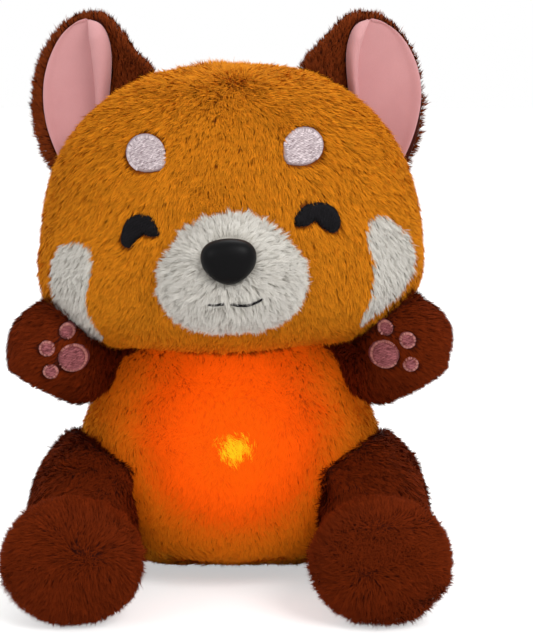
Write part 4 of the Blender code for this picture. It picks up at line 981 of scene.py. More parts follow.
RIGHT_EYE_POINTS = ((-9.2, -4), (-7, 3.4), (-3.3, 6.8), (1, 7.8), (5.2, 6.9), (7.4, 4), (9.2, -1.8), (5, -2.4),
                    (2, -1.6), (-1.6, -4), (-4.4, -7.4), (-7.8, -7.3))
LEFT_EYE_POINTS = ((-11.6, -0.6), (-9.8, 2.2), (-7.6, 4.9), (-4, 6.8), (1.2, 7), (6, 5.3), (9.1, 1.8), (10.5, -3.2),
                   (8.8, -6.9), (5.6, -7), (1.8, -4.7), (-1.2, -1.3), (-5, -2.9), (-10, -3.2))
EYES = {"right": placed(RIGHT_EYE_POINTS, -41.8, 74.6), "left": placed(LEFT_EYE_POINTS, 43.1, 77.2)}
BROWS = {"right": drop_outline(-37.7, 110.6, 9.4, 0.9, 0.2, math.radians(-40), math.radians(24)),
         "left": drop_outline(37.7, 110.6, 9.4, 0.9, 0.2, math.radians(220), math.radians(24))}
CHEEKS = {"right": placed(RIGHT_CHEEK_POINTS, 0.8, 1.4), "left": placed(LEFT_CHEEK_POINTS, -0.8, 1.4)}
HIDDEN_BY_MUZZLE = (1.0, 54.0, 28.5, 20.5)
UNDER_NOSE = (1.0, 63, 11, 9)
FACE_BACK = -5 * MM
CHEEK_BACK = 10 * MM


def in_oval(across, up, oval):
    """Which places lie in an oval, given by its middle and its two half widths."""
    x, z, wide, high = oval
    dx, dz = (across - x) / wide, (up - z) / high
    return dx * dx + dz * dz < 1


head_flow = ruffled(away_from(4, -40, 261, 0.3), 0.22, 9, 5)


def head_keep(at, out):
    across, up = in_head(at)
    hidden = in_oval(across, up, HIDDEN_BY_MUZZLE)
    for reach in (0, 1.3, 2.6, 3.8):
        tip_across, tip_up = in_head(at + head_flow(at, out) * reach * MM)
        for outline in (*EYES.values(), *BROWS.values()):
            hidden |= inside_outline(tip_across, tip_up, outline)
    for outline in CHEEKS.values():
        hidden |= inside_outline(across, up, outline)
    return ~(hidden & (at[:, 1] < FACE_BACK))


def cheek_keep(side):
    def keep(at, out):
        across, up = in_head(at)
        return inside_outline(across, up, CHEEKS[side]) & (at[:, 1] < CHEEK_BACK)

    return keep


def fitted(item, body, nodes=()):
    """Says which body a piece rides on and the CAD nodes that it replaces."""
    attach(item, body)
    if nodes:
        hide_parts(*nodes)


FRONT = 4.6
BACK = 3.0
FINE = 0.36 * MM
HEAD_FRONT, HEAD_TOP = -15 * MM, 200 * MM


def zone(test, rule):
    """Where a piece grows: the test, and a rule on the place."""
    return lambda at, out: test(at, out) & rule(at)


HEAD_ZONES = (("front_top", FRONT, True, True), ("front_low", FRONT, True, False),
              ("back_top", BACK, False, True), ("back_low", BACK, False, False))
for seed, (label, thick, front, top) in enumerate(HEAD_ZONES, 11):
    near = None if top else tree_of(["left_arm", "right_arm", "torso"])
    here = zone(head_keep, lambda at: ((at[:, 1] < HEAD_FRONT) == front) & ((at[:, 2] >= HEAD_TOP) == top))
    piece = grow_pile(f"head_{label}_pile", SKINS["head"], thick, 5.0 * MM, FINE, head_flow, ORANGE_PILE, seed,
                      here, beside=near)
    fitted(piece, "head")
for side, _ in SIDES:
    piece = grow_pile(f"{side}_cheek_pile", SKINS["head"], FRONT * 1.1, 5.0 * MM, FINE, head_flow, WHITE_PILE,
                      21 if side == "left" else 22, cheek_keep(side), beside=tree_of([f"{side}_arm"]))
    fitted(piece, "head", (f"{side}_cheek",))
fitted(SKINS["head"], "head", ("head",))


MOUTH = (((-10, 42.8), (-6.2, 42.4), (-2.4, 43.2)), ((0.8, 43), (3.8, 42), (8.4, 41.7), (12.3, 42.8), (15.6, 44.4)))


def gap_to(across, up, strokes):
    """How far each place is from the nearest of some open strokes."""
    here = np.stack([across, up], axis=1)
    gap = np.full(len(here), 1e9)
    for stroke in strokes:
        for start, end in zip(stroke, stroke[1:]):
            start, way = np.array(start), np.array(end) - np.array(start)
            share = (((here - start) @ way) / (way @ way)).clip(0, 1)[:, None]
            gap = np.minimum(gap, np.linalg.norm(here - start - share * way, axis=1))
    return gap


muzzle_flow = ruffled(away_from(1.6, -112, 178, 0.15), 0.3, 6, 4)


def muzzle_keep(at, out):
    across, up = in_head(at)
    tip_across, tip_up = in_head(at + muzzle_flow(at, out) * 2.6 * MM)
    clear = (gap_to(across, up, MOUTH) > 0.9) & (gap_to(tip_across, tip_up, MOUTH) > 0.9)
    return ~in_oval(across, up, UNDER_NOSE) & clear


muzzle_pile = grow_pile("muzzle_pile", SKINS["muzzle"], 8.0, 5.4 * MM, 0.28 * MM, muzzle_flow, WHITE_PILE, 31,
                        muzzle_keep, stand=0.6, ruffle=0.2, gather=0.3)
fitted(muzzle_pile, "head")
fitted(SKINS["muzzle"], "head", ("muzzle",))

# %% [markdown]
# Embroidery. Eyes, brows and paw pads are filled with thread on a raised base, so that they stand
# in the pile instead of drowning in it. The base is a low closed cushion: its outline and a grid
# inside it are dropped onto the sewn skin and lifted to a crown. The thread lies on that base, one
# short half-round strand for each stitch.

# %% Embroidery base
def thread_material(name, dark, pale, roughness=0.5, sheen=0.1):
    material, tree, sockets = new_material(name, roughness, sheen, 0.12)
    tone, along = strand_map(tree)
    # Painted shade: each stitch darkens towards both ends; across its map its tone differs at random.
    centred = math_node(tree, "MULTIPLY_ADD", along, 2.0, -1.0)
    end = math_node(tree, "POWER", math_node(tree, "ABSOLUTE", centred), 5.0)
    shine = math_node(tree, "SUBTRACT", tone, math_node(tree, "MULTIPLY", end, 0.6), clamp=True)
    feed(tree, sockets["Base Color"], mix_colour(tree, shine, dark, pale))
    return material


BLACK_THREAD = thread_material("black_thread", colour(3, 2, 4), colour(19, 16, 20), 0.6, 0.0)
WHITE_THREAD = thread_material("white_thread", colour(140, 122, 126), colour(240, 226, 229))
PINK_THREAD = thread_material("pink_thread", colour(92, 38, 42), colour(172, 102, 106))
RIM_THREAD = thread_material("pad_rim_thread", colour(110, 56, 52), colour(204, 138, 130))
# The white and pink bases are darker than their thread: painted shade in the gaps between stitches.
BLACK_BASE = cloth_material("black_stitch_base", colour(3, 3, 4), colour(10, 9, 11), 1600)
WHITE_BASE = cloth_material("white_stitch_base", colour(150, 134, 138), colour(196, 180, 184), 1600)
PINK_BASE = cloth_material("pink_stitch_base", colour(96, 44, 48), colour(136, 72, 76), 1600)


def from_head(point):
    """World x and z in millimetres of a point in the head's frame."""
    across, up = point
    return (NECK[0] / MM + across * math.cos(ROLL) - up * math.sin(ROLL),
            NECK[2] / MM + across * math.sin(ROLL) + up * math.cos(ROLL))


def dropped(tree, point, lift):
    """Where a point of the front view lands on a skin, lifted off it, and the way out there."""
    spot, way, _, _ = tree.ray_cast(Vector((point[0] * MM, -0.3, point[1] * MM)), Vector((0, 1, 0)))
    if spot is None:
        spot, way, _, _ = tree.find_nearest(Vector((point[0] * MM, -0.045, point[1] * MM)))
    return spot + way * lift, way


def edge_gap(point, outline):
    return float(gap_to(np.array([point[0]]), np.array([point[1]]), (list(outline) + [outline[0]],))[0])


def inside(point, outline):
    return bool(inside_outline(np.array([point[0]]), np.array([point[1]]), outline)[0])


def stitch_base(name, outline, skin_tree, lift, crown, material, step=1.0):
    """A low closed cushion over an outline, given in world x and z millimetres."""
    xs, zs = zip(*outline)
    flat = [Vector(point) for point in outline]
    x = min(xs)
    while x < max(xs):
        z = min(zs)
        while z < max(zs):
            if inside((x, z), outline) and edge_gap((x, z), outline) > step * 0.5:
                flat.append(Vector((x, z)))
            z += step
        x += step
    found, _, faces = delaunay_2d_cdt(flat, [], [list(range(len(outline)))], 1, 1e-5)[:3]
    shape = bmesh.new()
    top, low = [], []
    for point in found:
        far = min(1.0, edge_gap(point, outline) / 1.6)
        rise = lift + crown * math.sqrt(1 - (1 - far) ** 2)
        top.append(shape.verts.new(dropped(skin_tree, point, rise)[0]))
        low.append(shape.verts.new(dropped(skin_tree, point, -0.8 * MM)[0]))
    for face in faces:
        shape.faces.new([top[index] for index in face])
        shape.faces.new([low[index] for index in reversed(face)])
    bmesh.ops.recalc_face_normals(shape, faces=shape.faces)
    rims = [edge for edge in shape.edges if edge.is_boundary and edge.verts[0] in set(top)]
    partner = dict(zip(top, low))
    for edge in rims:
        a, b = edge.verts
        shape.faces.new((a, b, partner[b], partner[a]))
    bmesh.ops.recalc_face_normals(shape, faces=shape.faces)
    mesh = finished_mesh(shape, name, material)
    print(name, "faces", len(mesh.polygons))
    return add_object(name, mesh)


# %% [markdown]
# Stitches. A fill is rows of short stitches, each row shifted against the last, as an embroidery
# machine lays them. A satin border is a close row of threads across the edge. Every stitch starts
# and ends on the base, so it follows the crown.

# %% Stitches
def fill_lines(outline, pitch, piece, angle, inset, rng):
    """Start and end of every stitch in a filled shape."""
    way = np.array([math.cos(angle), math.sin(angle)])
    side = np.array([-way[1], way[0]])
    corners = np.array(outline)
    reach = np.abs(corners - corners.mean(axis=0)).max() * 1.6
    middle = corners.mean(axis=0)
    stitches = []
    for row, offset in enumerate(np.arange(-reach, reach, pitch)):
        for start in np.arange(-reach - (row % 3) * piece / 3, reach, piece):
            a = middle + side * offset + way * start + rng.normal(0, 0.05, 2)
            b = a + way * piece
            if all(inside(point, outline) and edge_gap(point, outline) > inset for point in (a, (a + b) / 2, b)):
                stitches.append((a, b))
    return stitches


def border_lines(outline, pitch, depth, rng, proud):
    """Threads across the edge of an outline, as in a satin border."""
    loop = np.array(list(outline) + [outline[0]])
    runs = np.linalg.norm(np.diff(loop, axis=0), axis=1)
    along = np.concatenate([[0], runs.cumsum()])
    stitches = []
    for place in np.arange(0, along[-1], pitch):
        at = np.array([np.interp(place, along, loop[:, k]) for k in (0, 1)])
        after = np.array([np.interp((place + 0.3) % along[-1], along, loop[:, k]) for k in (0, 1)])
        inward = np.array([-(after - at)[1], (after - at)[0]])
        inward /= np.linalg.norm(inward) + 1e-9
        if not inside(at + inward * 0.3, outline):
            inward = -inward
        jitter = rng.normal(0, proud)
        stitches.append((at - inward * (0.1 + jitter), at + inward * depth))
    return stitches


def stitched(name, stitches, base, width, material, seed):
    """One piece of half-round threads along stitches that lie on a base."""
    rng = np.random.default_rng(seed)
    cloth = tree_over(base)
    starts, aims, faces, longs = [], [], [], []
    for stitch in stitches:
        ends = [Vector((x * MM, -0.3, z * MM)) for x, z in stitch]
        hits = [cloth.ray_cast(point, Vector((0, 1, 0))) for point in ends]
        known = [hit for hit in hits if hit[0] is not None]
        if not known:
            continue
        spots, ways = [], []
        for hit, point in zip(hits, ends):
            landed = hit[0] is not None
            ways.append(hit[1] if landed else known[0][1])
            spot = hit[0] if landed else Vector((point.x, known[0][0].y + 0.3 * MM, point.z))
            spots.append(spot + ways[-1] * 0.06 * MM)
        run = spots[1] - spots[0]
        starts.append(spots[0] - run * 0.04)
        aims.append(run.normalized())
        faces.append((ways[0] + ways[1]).normalized())
        longs.append(run.length * 1.08)
    count = len(starts)
    tones = rng.normal(0.55, 0.2, count)
    wides = width * (1 + rng.normal(0, 0.08, count))
    item = strand_mesh(name, THREAD_TREE, *map(np.array, (starts, aims, faces, longs)), wides, tones, 0.5, material)
    print(name, "stitches", count, "triangles", sum(len(face.vertices) - 2 for face in item.data.polygons))
    return item


# %% [markdown]
# The brows have a machine fill with a raised satin edge, and the eyes are satin columns whose ends
# make a slightly ragged outline.

# %% Eyes and brows
def embroider(name, outline, cloth, body, node, base_plan, fill_plan, rim_plan, rng):
    """A raised base with its fill and its rim, all on one body.

    base_plan is lift, crown and cloth. fill_plan is pitch, stitch length, angle, inset, width, thread and seed.
    rim_plan is pitch, depth, raggedness, width, thread and seed.
    """
    lift, crown, cloth_finish = base_plan
    base = stitch_base(f"{name}_base", outline, cloth, lift * MM, crown * MM, cloth_finish)
    pitch, piece, angle, inset, wide, finish, seed = fill_plan
    lines = fill_lines(outline, pitch, piece, math.radians(angle), inset, rng)
    threads = stitched(f"{name}_fill", lines, base, wide * MM, finish, seed)
    pitch, depth, proud, wide, finish, seed = rim_plan
    rim = stitched(f"{name}_rim", border_lines(outline, pitch, depth, rng, proud), base, wide * MM, finish, seed)
    fitted(base, body, (node,))
    fitted(threads, body)
    fitted(rim, body)


face_tree = tree_over(SKINS["head"])
for index, (side, _) in enumerate(SIDES):
    rng = np.random.default_rng(200 + index)
    embroider(f"{side}_brow", [from_head(point) for point in BROWS[side]], face_tree, "head", f"{side}_brow",
              (1.3, 0.9, WHITE_BASE),
              (0.5, 1.3, 35 if index else 20, 0.9, 0.52, WHITE_THREAD, 210 + index),
              (0.5, 1.5, 0.05, 0.6, WHITE_THREAD, 220 + index), rng)
    embroider(f"{side}_eye", [from_head(point) for point in EYES[side]], face_tree, "head", f"{side}_eye",
              (1.4, 1.0, BLACK_BASE),
              (0.5, 2.0, 62 if index else 112, 0.2, 0.58, BLACK_THREAD, 230 + index),
              (0.55, 1.6, 0.16, 0.6, BLACK_THREAD, 240 + index), rng)

# %% [markdown]
# The mouth is two strokes of chain stitch, sewn after the muzzle was brushed, so the white pile
# half covers them.

# %% Mouth
def mouth_stitches(strokes, pitch, piece):
    stitches = []
    for stroke in strokes:
        points = np.array([from_head(point) for point in stroke])
        along = np.concatenate([[0], np.linalg.norm(np.diff(points, axis=0), axis=1).cumsum()])
        for place in np.arange(0, along[-1] - piece * 0.6, pitch):
            pair = [np.array([np.interp(min(place + step, along[-1]), along, points[:, k]) for k in (0, 1)])
                    for step in (0, piece)]
            stitches.append(pair)
    return stitches


def lifted_skin(skin, lift):
    """A plain copy of a skin, moved out along its own normals, to lay thread on."""
    mesh = skin.data.copy()
    points = arrays_of(mesh)[0]
    set_points(mesh, points + vertex_normals(mesh) * lift)
    return bpy.data.objects.new("laying_sheet", mesh)


laying_sheet = lifted_skin(SKINS["muzzle"], 2.5 * MM)
mouth = stitched("mouth_stitches", mouth_stitches(MOUTH, 0.8, 1.9), laying_sheet, 1.3 * MM, BLACK_THREAD, 250)
bpy.data.objects.remove(laying_sheet)
fitted(mouth, "head", ("mouth",))

# %% [markdown]
# The nose is one moulded cap: a rounded triangle, domed, with a soft edge that turns back under,
# on a stem that holds it in the muzzle. It is matt black with a fine spark-eroded grain.

# %% Nose
def grain_group():
    tree, given = shader_group("moulded_grain", {"Base": (0.5, 0.5, 0.5, 1), "Worn": (0.6, 0.6, 0.6, 1),
                                                 "Scale": 2500.0, "Gloss": 0.4})
    broad = pattern(tree, "Noise", 60, Detail=4)
    rough = math_node(tree, "ADD", given["Gloss"], math_node(tree, "MULTIPLY", broad, 0.15))
    return close_group(tree, Color=mix_colour(tree, broad, given["Base"], given["Worn"]),
                       Height=pattern(tree, "Noise", given["Scale"]), Roughness=rough)


moulded_grain = grain_group()


def moulded_material(name, base, worn, gloss, scale, specular, bump, metallic=0.0):
    material, tree, sockets = new_material(name, gloss, 0.0, specular)
    sockets["Metallic"].default_value = metallic
    grain = use_group(tree, moulded_grain, Base=colour(*base), Worn=colour(*worn), Scale=scale, Gloss=gloss)
    feed(tree, sockets["Base Color"], grain["Color"])
    feed(tree, sockets["Roughness"], grain["Roughness"])
    emboss(tree, grain["Height"], bump, 0.0002)
    return material


NOSE_BLACK = moulded_material("nose_black", (3, 3, 4), (10, 9, 10), 0.34, 1800, 0.1, 0.1)
NOSE_POINTS = ((-13, 1.8), (-11.6, 6.2), (-7.4, 9.2), (0, 10.3), (7.4, 9.2), (11.6, 6.2), (13, 1.8), (12, -3),
               (8.8, -7.2), (4.4, -10.2), (0, -11.2), (-4.4, -10.2), (-8.8, -7.2), (-12, -3))
NOSE_RINGS = ((0.9, -1.2), (0.97, -0.5), (1.0, 0.8), (0.99, 2.4), (0.95, 4.0), (0.87, 5.5), (0.74, 6.8),
              (0.57, 7.7), (0.37, 8.25), (0.17, 8.5))


def make_nose():
    low, high = (np.array(corner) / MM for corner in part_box("nose"))
    across, up = 0.6, 63.2
    back = low[1] + 8.5
    outline = smooth_loop(NOSE_POINTS, 5)
    shape = bmesh.new()

    def ring(points, depth):
        loop = []
        for x, z in points:
            world = from_head((across + x, up + z))
            loop.append(shape.verts.new((world[0] * MM, depth * MM, world[1] * MM)))
        return loop

    stem = [tuple(np.array(point) / np.linalg.norm(point) * 2.2) for point in outline]
    loops = [ring(stem, high[1]), ring(stem, back + 1.0)]
    loops += [ring([(x * share, z * share) for x, z in outline], back - rise) for share, rise in NOSE_RINGS]
    for lower, upper in zip(loops, loops[1:]):
        for step in range(len(outline)):
            after = (step + 1) % len(outline)
            shape.faces.new((lower[step], lower[after], upper[after], upper[step]))
    shape.faces.new(loops[0])
    shape.faces.new(loops[-1])
    bmesh.ops.recalc_face_normals(shape, faces=shape.faces)
    mesh = finished_mesh(shape, "nose_cap", NOSE_BLACK)
    print("nose faces", len(mesh.polygons), "box", low, high)
    return add_object("nose_cap", mesh)


fitted(make_nose(), "head", ("nose",))

# %% [markdown]
# Ear linings are short pink velvet. The sheet lies in the shell's cup, reaches its outer rim, and
# on the side towards the head it is sewn into a standing fold, whose lip hangs over a dark crease.
# It is drawn as a grid: rows up the ear, and across each row first the fold and then the cup.

# %% Ear lining
def cup_depth(u, v):
    return 10 * (1 - (u / 34) ** 2 - 0.8 * (v / 48.5) ** 2)


ROW_HEIGHTS = (-42, -34, -26, -18, -10, -2, 6, 14, 22, 28, 33, 37, 40, 42, 43.4, 44.2)
INNER_EDGE = (2, -1, -3, -4.5, -6, -7, -7.8, -9, -10, -10.3, -9.8, -8.8, -7.4, -5.8, -3.6, -0.4)
OUTER_EDGE = {1: (11, 17, 22, 25.5, 28, 29.6, 30.2, 29.4, 27.2, 24.4, 21.4, 18, 14.6, 11.2, 7.4, 2.2),
              -1: (9, 15.5, 20, 23.5, 26, 27.2, 27.4, 26.6, 24.4, 21.8, 19, 16, 12.8, 9.8, 6.4, 2)}
FOLD_WIDTH = {1: (2.4, 2.4, 2.6, 2.9, 3.2, 3.6, 4.2, 4.8, 5.6, 6.2, 6.6, 6.8, 6.6, 6, 4.6, 1.4),
              -1: (3, 3, 3.2, 3.8, 4.6, 5.4, 6.6, 8.2, 9.6, 10.2, 10, 9.4, 8.2, 6.8, 5, 1.4)}
FOLD_SHAPE = ((0, 0.6), (-0.01, -0.25), (0.08, -0.66), (0.28, -0.93), (0.55, -1), (0.82, -0.93), (0.98, -0.78),
              (1.02, -0.62), (0.94, -0.46), (0.82, -0.26), (0.76, -0.04), (0.8, 0.14))


LINING_LOW, LINING_HEIGHT, LINING_SUNK = -42, 86.2, 1.4


def fold_lift(v):
    return 8.2 * ease(np.float64(v), -34, -4) * math.sqrt(min(1.0, max(0.0, (44.4 - v) / 9)))


def lining_edges(side, v):
    return [float(np.interp(v, ROW_HEIGHTS, row)) for row in (INNER_EDGE, OUTER_EDGE[side], FOLD_WIDTH[side])]


def make_lining(name, side, rows=48, cup_columns=22):
    shape = bmesh.new()
    grid = []
    for row in range(rows + 1):
        v = LINING_LOW + LINING_HEIGHT * (1 - (1 - row / rows) ** 1.7)
        inner, outer, fold = lining_edges(side, v)
        lift = fold_lift(v)
        line = []
        for share, rise in FOLD_SHAPE:
            u = inner + fold * share
            depth = cup_depth(u, v) - LINING_SUNK + (rise * lift if rise < 0 else rise)
            line.append(shape.verts.new(ear_place(side, u, depth, v)))
        start = inner + fold * 0.82
        for column in range(1, cup_columns + 1):
            share = column / cup_columns
            u = start + (outer - start) * share
            rim = max(0.0, (share - 0.86) / 0.14)
            bulge = 0.5 * math.sin(math.pi * share) * math.exp(-((v - 2) / 30) ** 2)
            depth = cup_depth(u, v) - LINING_SUNK - 1.2 * math.sin(rim * math.pi * 0.8) + 0.5 * rim + bulge
            line.append(shape.verts.new(ear_place(side, u, depth, v)))
        grid.append(line)
    for lower, upper in zip(grid, grid[1:]):
        for step in range(len(lower) - 1):
            face = (lower[step], lower[step + 1], upper[step + 1], upper[step])
            shape.faces.new(face if side > 0 else face[::-1])
    mesh = finished_mesh(shape, name)
    relax(mesh, 2, 0.5)
    item = add_object(name, mesh)
    thick = item.modifiers.new("velvet_thickness", "SOLIDIFY")
    thick.thickness = 0.9 * MM
    thick.offset = -1
    thick.use_even_offset = False
    even = item.modifiers.new("soft_form", "SUBSURF")
    even.levels = even.render_levels = 1
    evaluated(item, name)
    item.data.materials.clear()
    item.data.materials.append(PINK_VELVET)
    item.data.shade_smooth()
    print(name, "faces", len(item.data.polygons))
    return item


def velvet_material():
    material, tree, sockets = new_material("pink_velvet", 0.85, 0.35, 0.1)
    sockets["Sheen Tint"].default_value = colour(255, 214, 214)
    broad = mix_colour(tree, pattern(tree, "Noise", 55, Detail=3), colour(196, 138, 140), colour(216, 160, 161))
    # Painted light: the lining's colour turns paler towards its top, from a height of 0.215 m up.
    place = add_node(tree, "ShaderNodeTexCoord")
    height = add_node(tree, "ShaderNodeSeparateXYZ", {0: place.outputs["Object"]}).outputs[2]
    rise = math_node(tree, "MULTIPLY", math_node(tree, "SUBTRACT", height, 0.215), 11.0, clamp=True)
    high = mix_colour(tree, math_node(tree, "MULTIPLY", rise, 0.32), broad, colour(238, 190, 190))
    fuzz = pattern(tree, "Noise", 2600)
    shade = mix_colour(tree, math_node(tree, "MULTIPLY", fuzz, 0.3), high, colour(180, 112, 116))
    feed(tree, sockets["Base Color"], shade)
    emboss(tree, fuzz, 0.25, 0.0003)
    return material


PINK_VELVET = velvet_material()
for label, side in SIDES:
    lining = make_lining(f"{label}_ear_velvet", side)
    fitted(lining, "head", (f"{label}_ear_lining",))


def ear_keep(side):
    """The shell's pile, but none under the lining or through its fold."""
    def keep(at, out):
        u, _, v = ear_local(at, side)
        _, facing, _ = ear_local((out + np.array([side * EAR_SEAT[0], *EAR_SEAT[1:]])) * MM, side)
        inner = np.interp(v, ROW_HEIGHTS, INNER_EDGE)
        outer = np.interp(v, ROW_HEIGHTS, OUTER_EDGE[side])
        under = (facing < 0.25) & (u > inner + 0.3) & (u < outer - 0.6) & (v < 43.2)
        bare_rim = (u > 14) & (v < 22) & (v > -30) & (facing < 0.6) if side > 0 else np.zeros(len(at), dtype=bool)
        return ~(under | bare_rim)

    return keep

# %% [markdown]
# The torso's pile hangs down. In front of the lamp it is a piece of its own, whose map says how
# much light comes through each fibre: most round the lamp, less and less towards the sides.

# %% Torso pile
LAMP_X = 3.0
GLOW_HEIGHT, CORE_HEIGHT = 85, 80.5
LIT_EDGE = 0.03
POCKET_HALF, POCKET_FRONT, POCKET_LOW, POCKET_TOP = 36 * MM, 20 * MM, 36 * MM, 98 * MM
JOINT_ROOMS = (((4, -5, 116), 31), ((62, 0, 44), 22), ((-62, 0, 44), 22), ((0, 50, 17.5), 11))
TORSO_MIDDLE = 5 * MM


def light_through(at):
    """Share of the lamp's light at each place, 1 right in front of the lamp."""
    dx = (at[:, 0] / MM - LAMP_X) / 44
    up = at[:, 2] / MM - GLOW_HEIGHT
    dz = up / np.where(up > 0, 47, 44)
    far = np.sqrt(dx ** 2 + dz ** 2)
    share = 1 / (1 + np.exp((far - 0.98) * np.where(up > 0, 3.1, 3.9)))
    share *= (1 - ease(far, 1.3, 2.1)) * ease(-at[:, 1], 4 * MM, 20 * MM)
    return np.where(at[:, 1] < -5 * MM, share, 0)


def belly_tone(at, rng, owner, tufts):
    """The map's tone of each fibre: how much light comes through it, and a few hot ones at the core."""
    share = light_through(at) * 0.86
    share += rng.normal(0, 0.03, tufts)[owner] * np.clip(share * 3, 0.2, 1) + rng.normal(0, 0.02, len(at))
    share = share.clip(0.01, 0.9)
    dx, dz = at[:, 0] / MM - LAMP_X, at[:, 2] / MM - CORE_HEIGHT
    hot = np.exp(-(dx / 9) ** 2 - (dz / 7) ** 2)
    lucky = rng.random(tufts)[owner] * 0.7 + rng.random(len(at)) * 0.3
    shine = hot - lucky * 0.8
    return np.where(shine > 0.08, 0.945 + 0.055 * (shine / 0.4).clip(0, 1), share)


def unlit(at, out):
    """Where the torso's plain pile grows: out of the light, the pocket, and the seats of neck, hips and tail."""
    x, y, z = at.T
    hidden = (np.abs(x) < POCKET_HALF) & (y > POCKET_FRONT) & (z > POCKET_LOW) & (z < POCKET_TOP)
    for centre, radius in JOINT_ROOMS:
        hidden |= np.linalg.norm(at - np.array(centre) * MM, axis=1) < radius * MM
    return (light_through(at) <= LIT_EDGE) & ~hidden


hanging = ruffled(constant_flow(0, -0.2, -1), 0.4, 8, 6)
belly_pile = grow_pile("belly_pile", SKINS["torso"], FRONT, 4.6 * MM, FINE, hanging, BELLY_PILE, 41,
                       lambda at, out: light_through(at) > LIT_EDGE, tone=belly_tone)
fitted(belly_pile, "torso")
TORSO_ZONES = (("side", FRONT * 0.8, lambda at: at[:, 1] < TORSO_MIDDLE),
               ("back", BACK, lambda at: at[:, 1] >= TORSO_MIDDLE))
for seed, (label, thick, rule) in enumerate(TORSO_ZONES, 42):
    piece = grow_pile(f"torso_{label}_pile", SKINS["torso"], thick, 4.8 * MM, FINE, hanging, ORANGE_PILE, seed,
                      zone(unlit, rule))
    fitted(piece, "torso")
fitted(SKINS["torso"], "torso", ("torso",))

# %% [markdown]
# Each palm has one large and three small pads: a rose fill with a paler satin ring.

# %% Paw pads
PADS = {-1: (("palm", 76.9, 122.4, 7.0), ("toe_1", 79.6, 135.6, 3.8), ("toe_2", 89.2, 127.8, 3.8),
             ("toe_3", 87.6, 116, 3.7)),
        1: (("palm", 78, 124.3, 7.0), ("toe_1", 78.4, 137, 3.7), ("toe_2", 89, 132, 3.9),
            ("toe_3", 90.6, 120, 3.7))}


def circle(x, z, radius, sides=30):
    return [(x + radius * math.cos(2 * math.pi * step / sides), z + radius * math.sin(2 * math.pi * step / sides))
            for step in range(sides)]


def pad_keep(side):
    def keep(at, out):
        free = np.ones(len(at), dtype=bool)
        for _, x, z, radius in PADS[side]:
            for spot in (at, at + np.array([side * 0.8, -0.3, -0.5]) * 2 * MM):
                near = np.hypot(spot[:, 0] / MM - side * x, spot[:, 2] / MM - z) < radius * 0.97
                free &= ~(near & (out[:, 1] < 0.2))
        return free

    return keep


for side, way in SIDES:
    arm_tree = tree_over(SKINS[f"{side}_arm"])
    for index, (spot, x, z, radius) in enumerate(PADS[way]):
        embroider(f"{side}_{spot}", circle(way * x, z, radius), arm_tree, f"{side}_arm", f"{side}_{spot}_pad",
                  (1.2, 0.7, PINK_BASE), (0.6, 1.7, 30, 0.7, 0.62, PINK_THREAD, 320 + index),
                  (0.5, 1.1, 0.05, 0.58, RIM_THREAD, 330 + index), np.random.default_rng(300 + index + 10 * way))

# %% [markdown]
# Limbs, ears and tail. Arm and leg pile runs towards the paws, the soles' pile spreads from their
# middle, and the ears bristle at their rims.

# %% Limb pile
def sole_flow(way):
    """Outwards from a swirl on the sole, and a little downwards."""
    spread = away_from(66, -112, 25, 0.1) if way > 0 else away_from(-70, -112, 38, 0.1)

    def flow(at, out):
        facing = (-out[:, 1:2]).clip(0, 1)
        return spread(at, out) * (1 - 0.45 * facing) + np.array([0, -0.1, -0.15]) * facing

    return flow


def covered(node, body, slot, fill, thick, length, width, flow, finish, seed, keep=None, **options):
    """Grows the pile of one stuffed node, and fits it and its skin to their body."""
    pile = grow_pile(f"{node}_pile", SKINS[node], thick, length * MM, width, flow, finish, seed, keep, **options)
    fitted(pile, body)
    fitted(SKINS[node], body, (node,))


for side, way in SIDES:
    arm_flow = ruffled(constant_flow(way * 0.8, -0.3, -0.5), 0.35, 8, 7)
    leg_flow = ruffled(constant_flow(way * 0.2, -0.6, -0.8), 0.4, 8, 8)
    for node, body, fill, thick, length, flow, finish, seed, keep, options in (
            ("arm", f"{side}_arm", 0.8, FRONT, 5.0, arm_flow, BROWN_PILE, 51, pad_keep(way),
             {"beside": tree_of(["head"])}),
            ("leg", f"{side}_leg", 0.85, FRONT * 0.9, 5.0, leg_flow, BROWN_PILE, 61, None, {}),
            ("foot", f"{side}_leg", 0.9, FRONT, 5.4, ruffled(sole_flow(way), 0.45, 7, 9), BROWN_PILE, 71, None,
             {"stand": 0.8}),
            ("ear", "head", 0.5, FRONT, 4.4, away_from(way * 68, 5, 225), EAR_PILE, 81, ear_keep(way),
             {"stand": 0.6, "ruffle": 0.16})):
        covered(f"{side}_{node}", body, "brown_plush", fill, thick, length, FINE, flow, finish, seed + way, keep,
                **options)
for index in range(1, 6):
    finish, slot = (BROWN_PILE, "brown_plush") if index % 2 else (ORANGE_PILE, "orange_plush")
    covered(f"tail_band_{index}", "tail", slot, 0.8, BACK, 5.6, 0.4 * MM, constant_flow(0, 1, -0.1), finish,
            90 + index)
covered("back_flap", "flap", "orange_plush", 0.5, BACK, 4.6, FINE, constant_flow(0, 0.2, -1), ORANGE_PILE, 99,
        lambda at, out: out[:, 1] > 0.3)
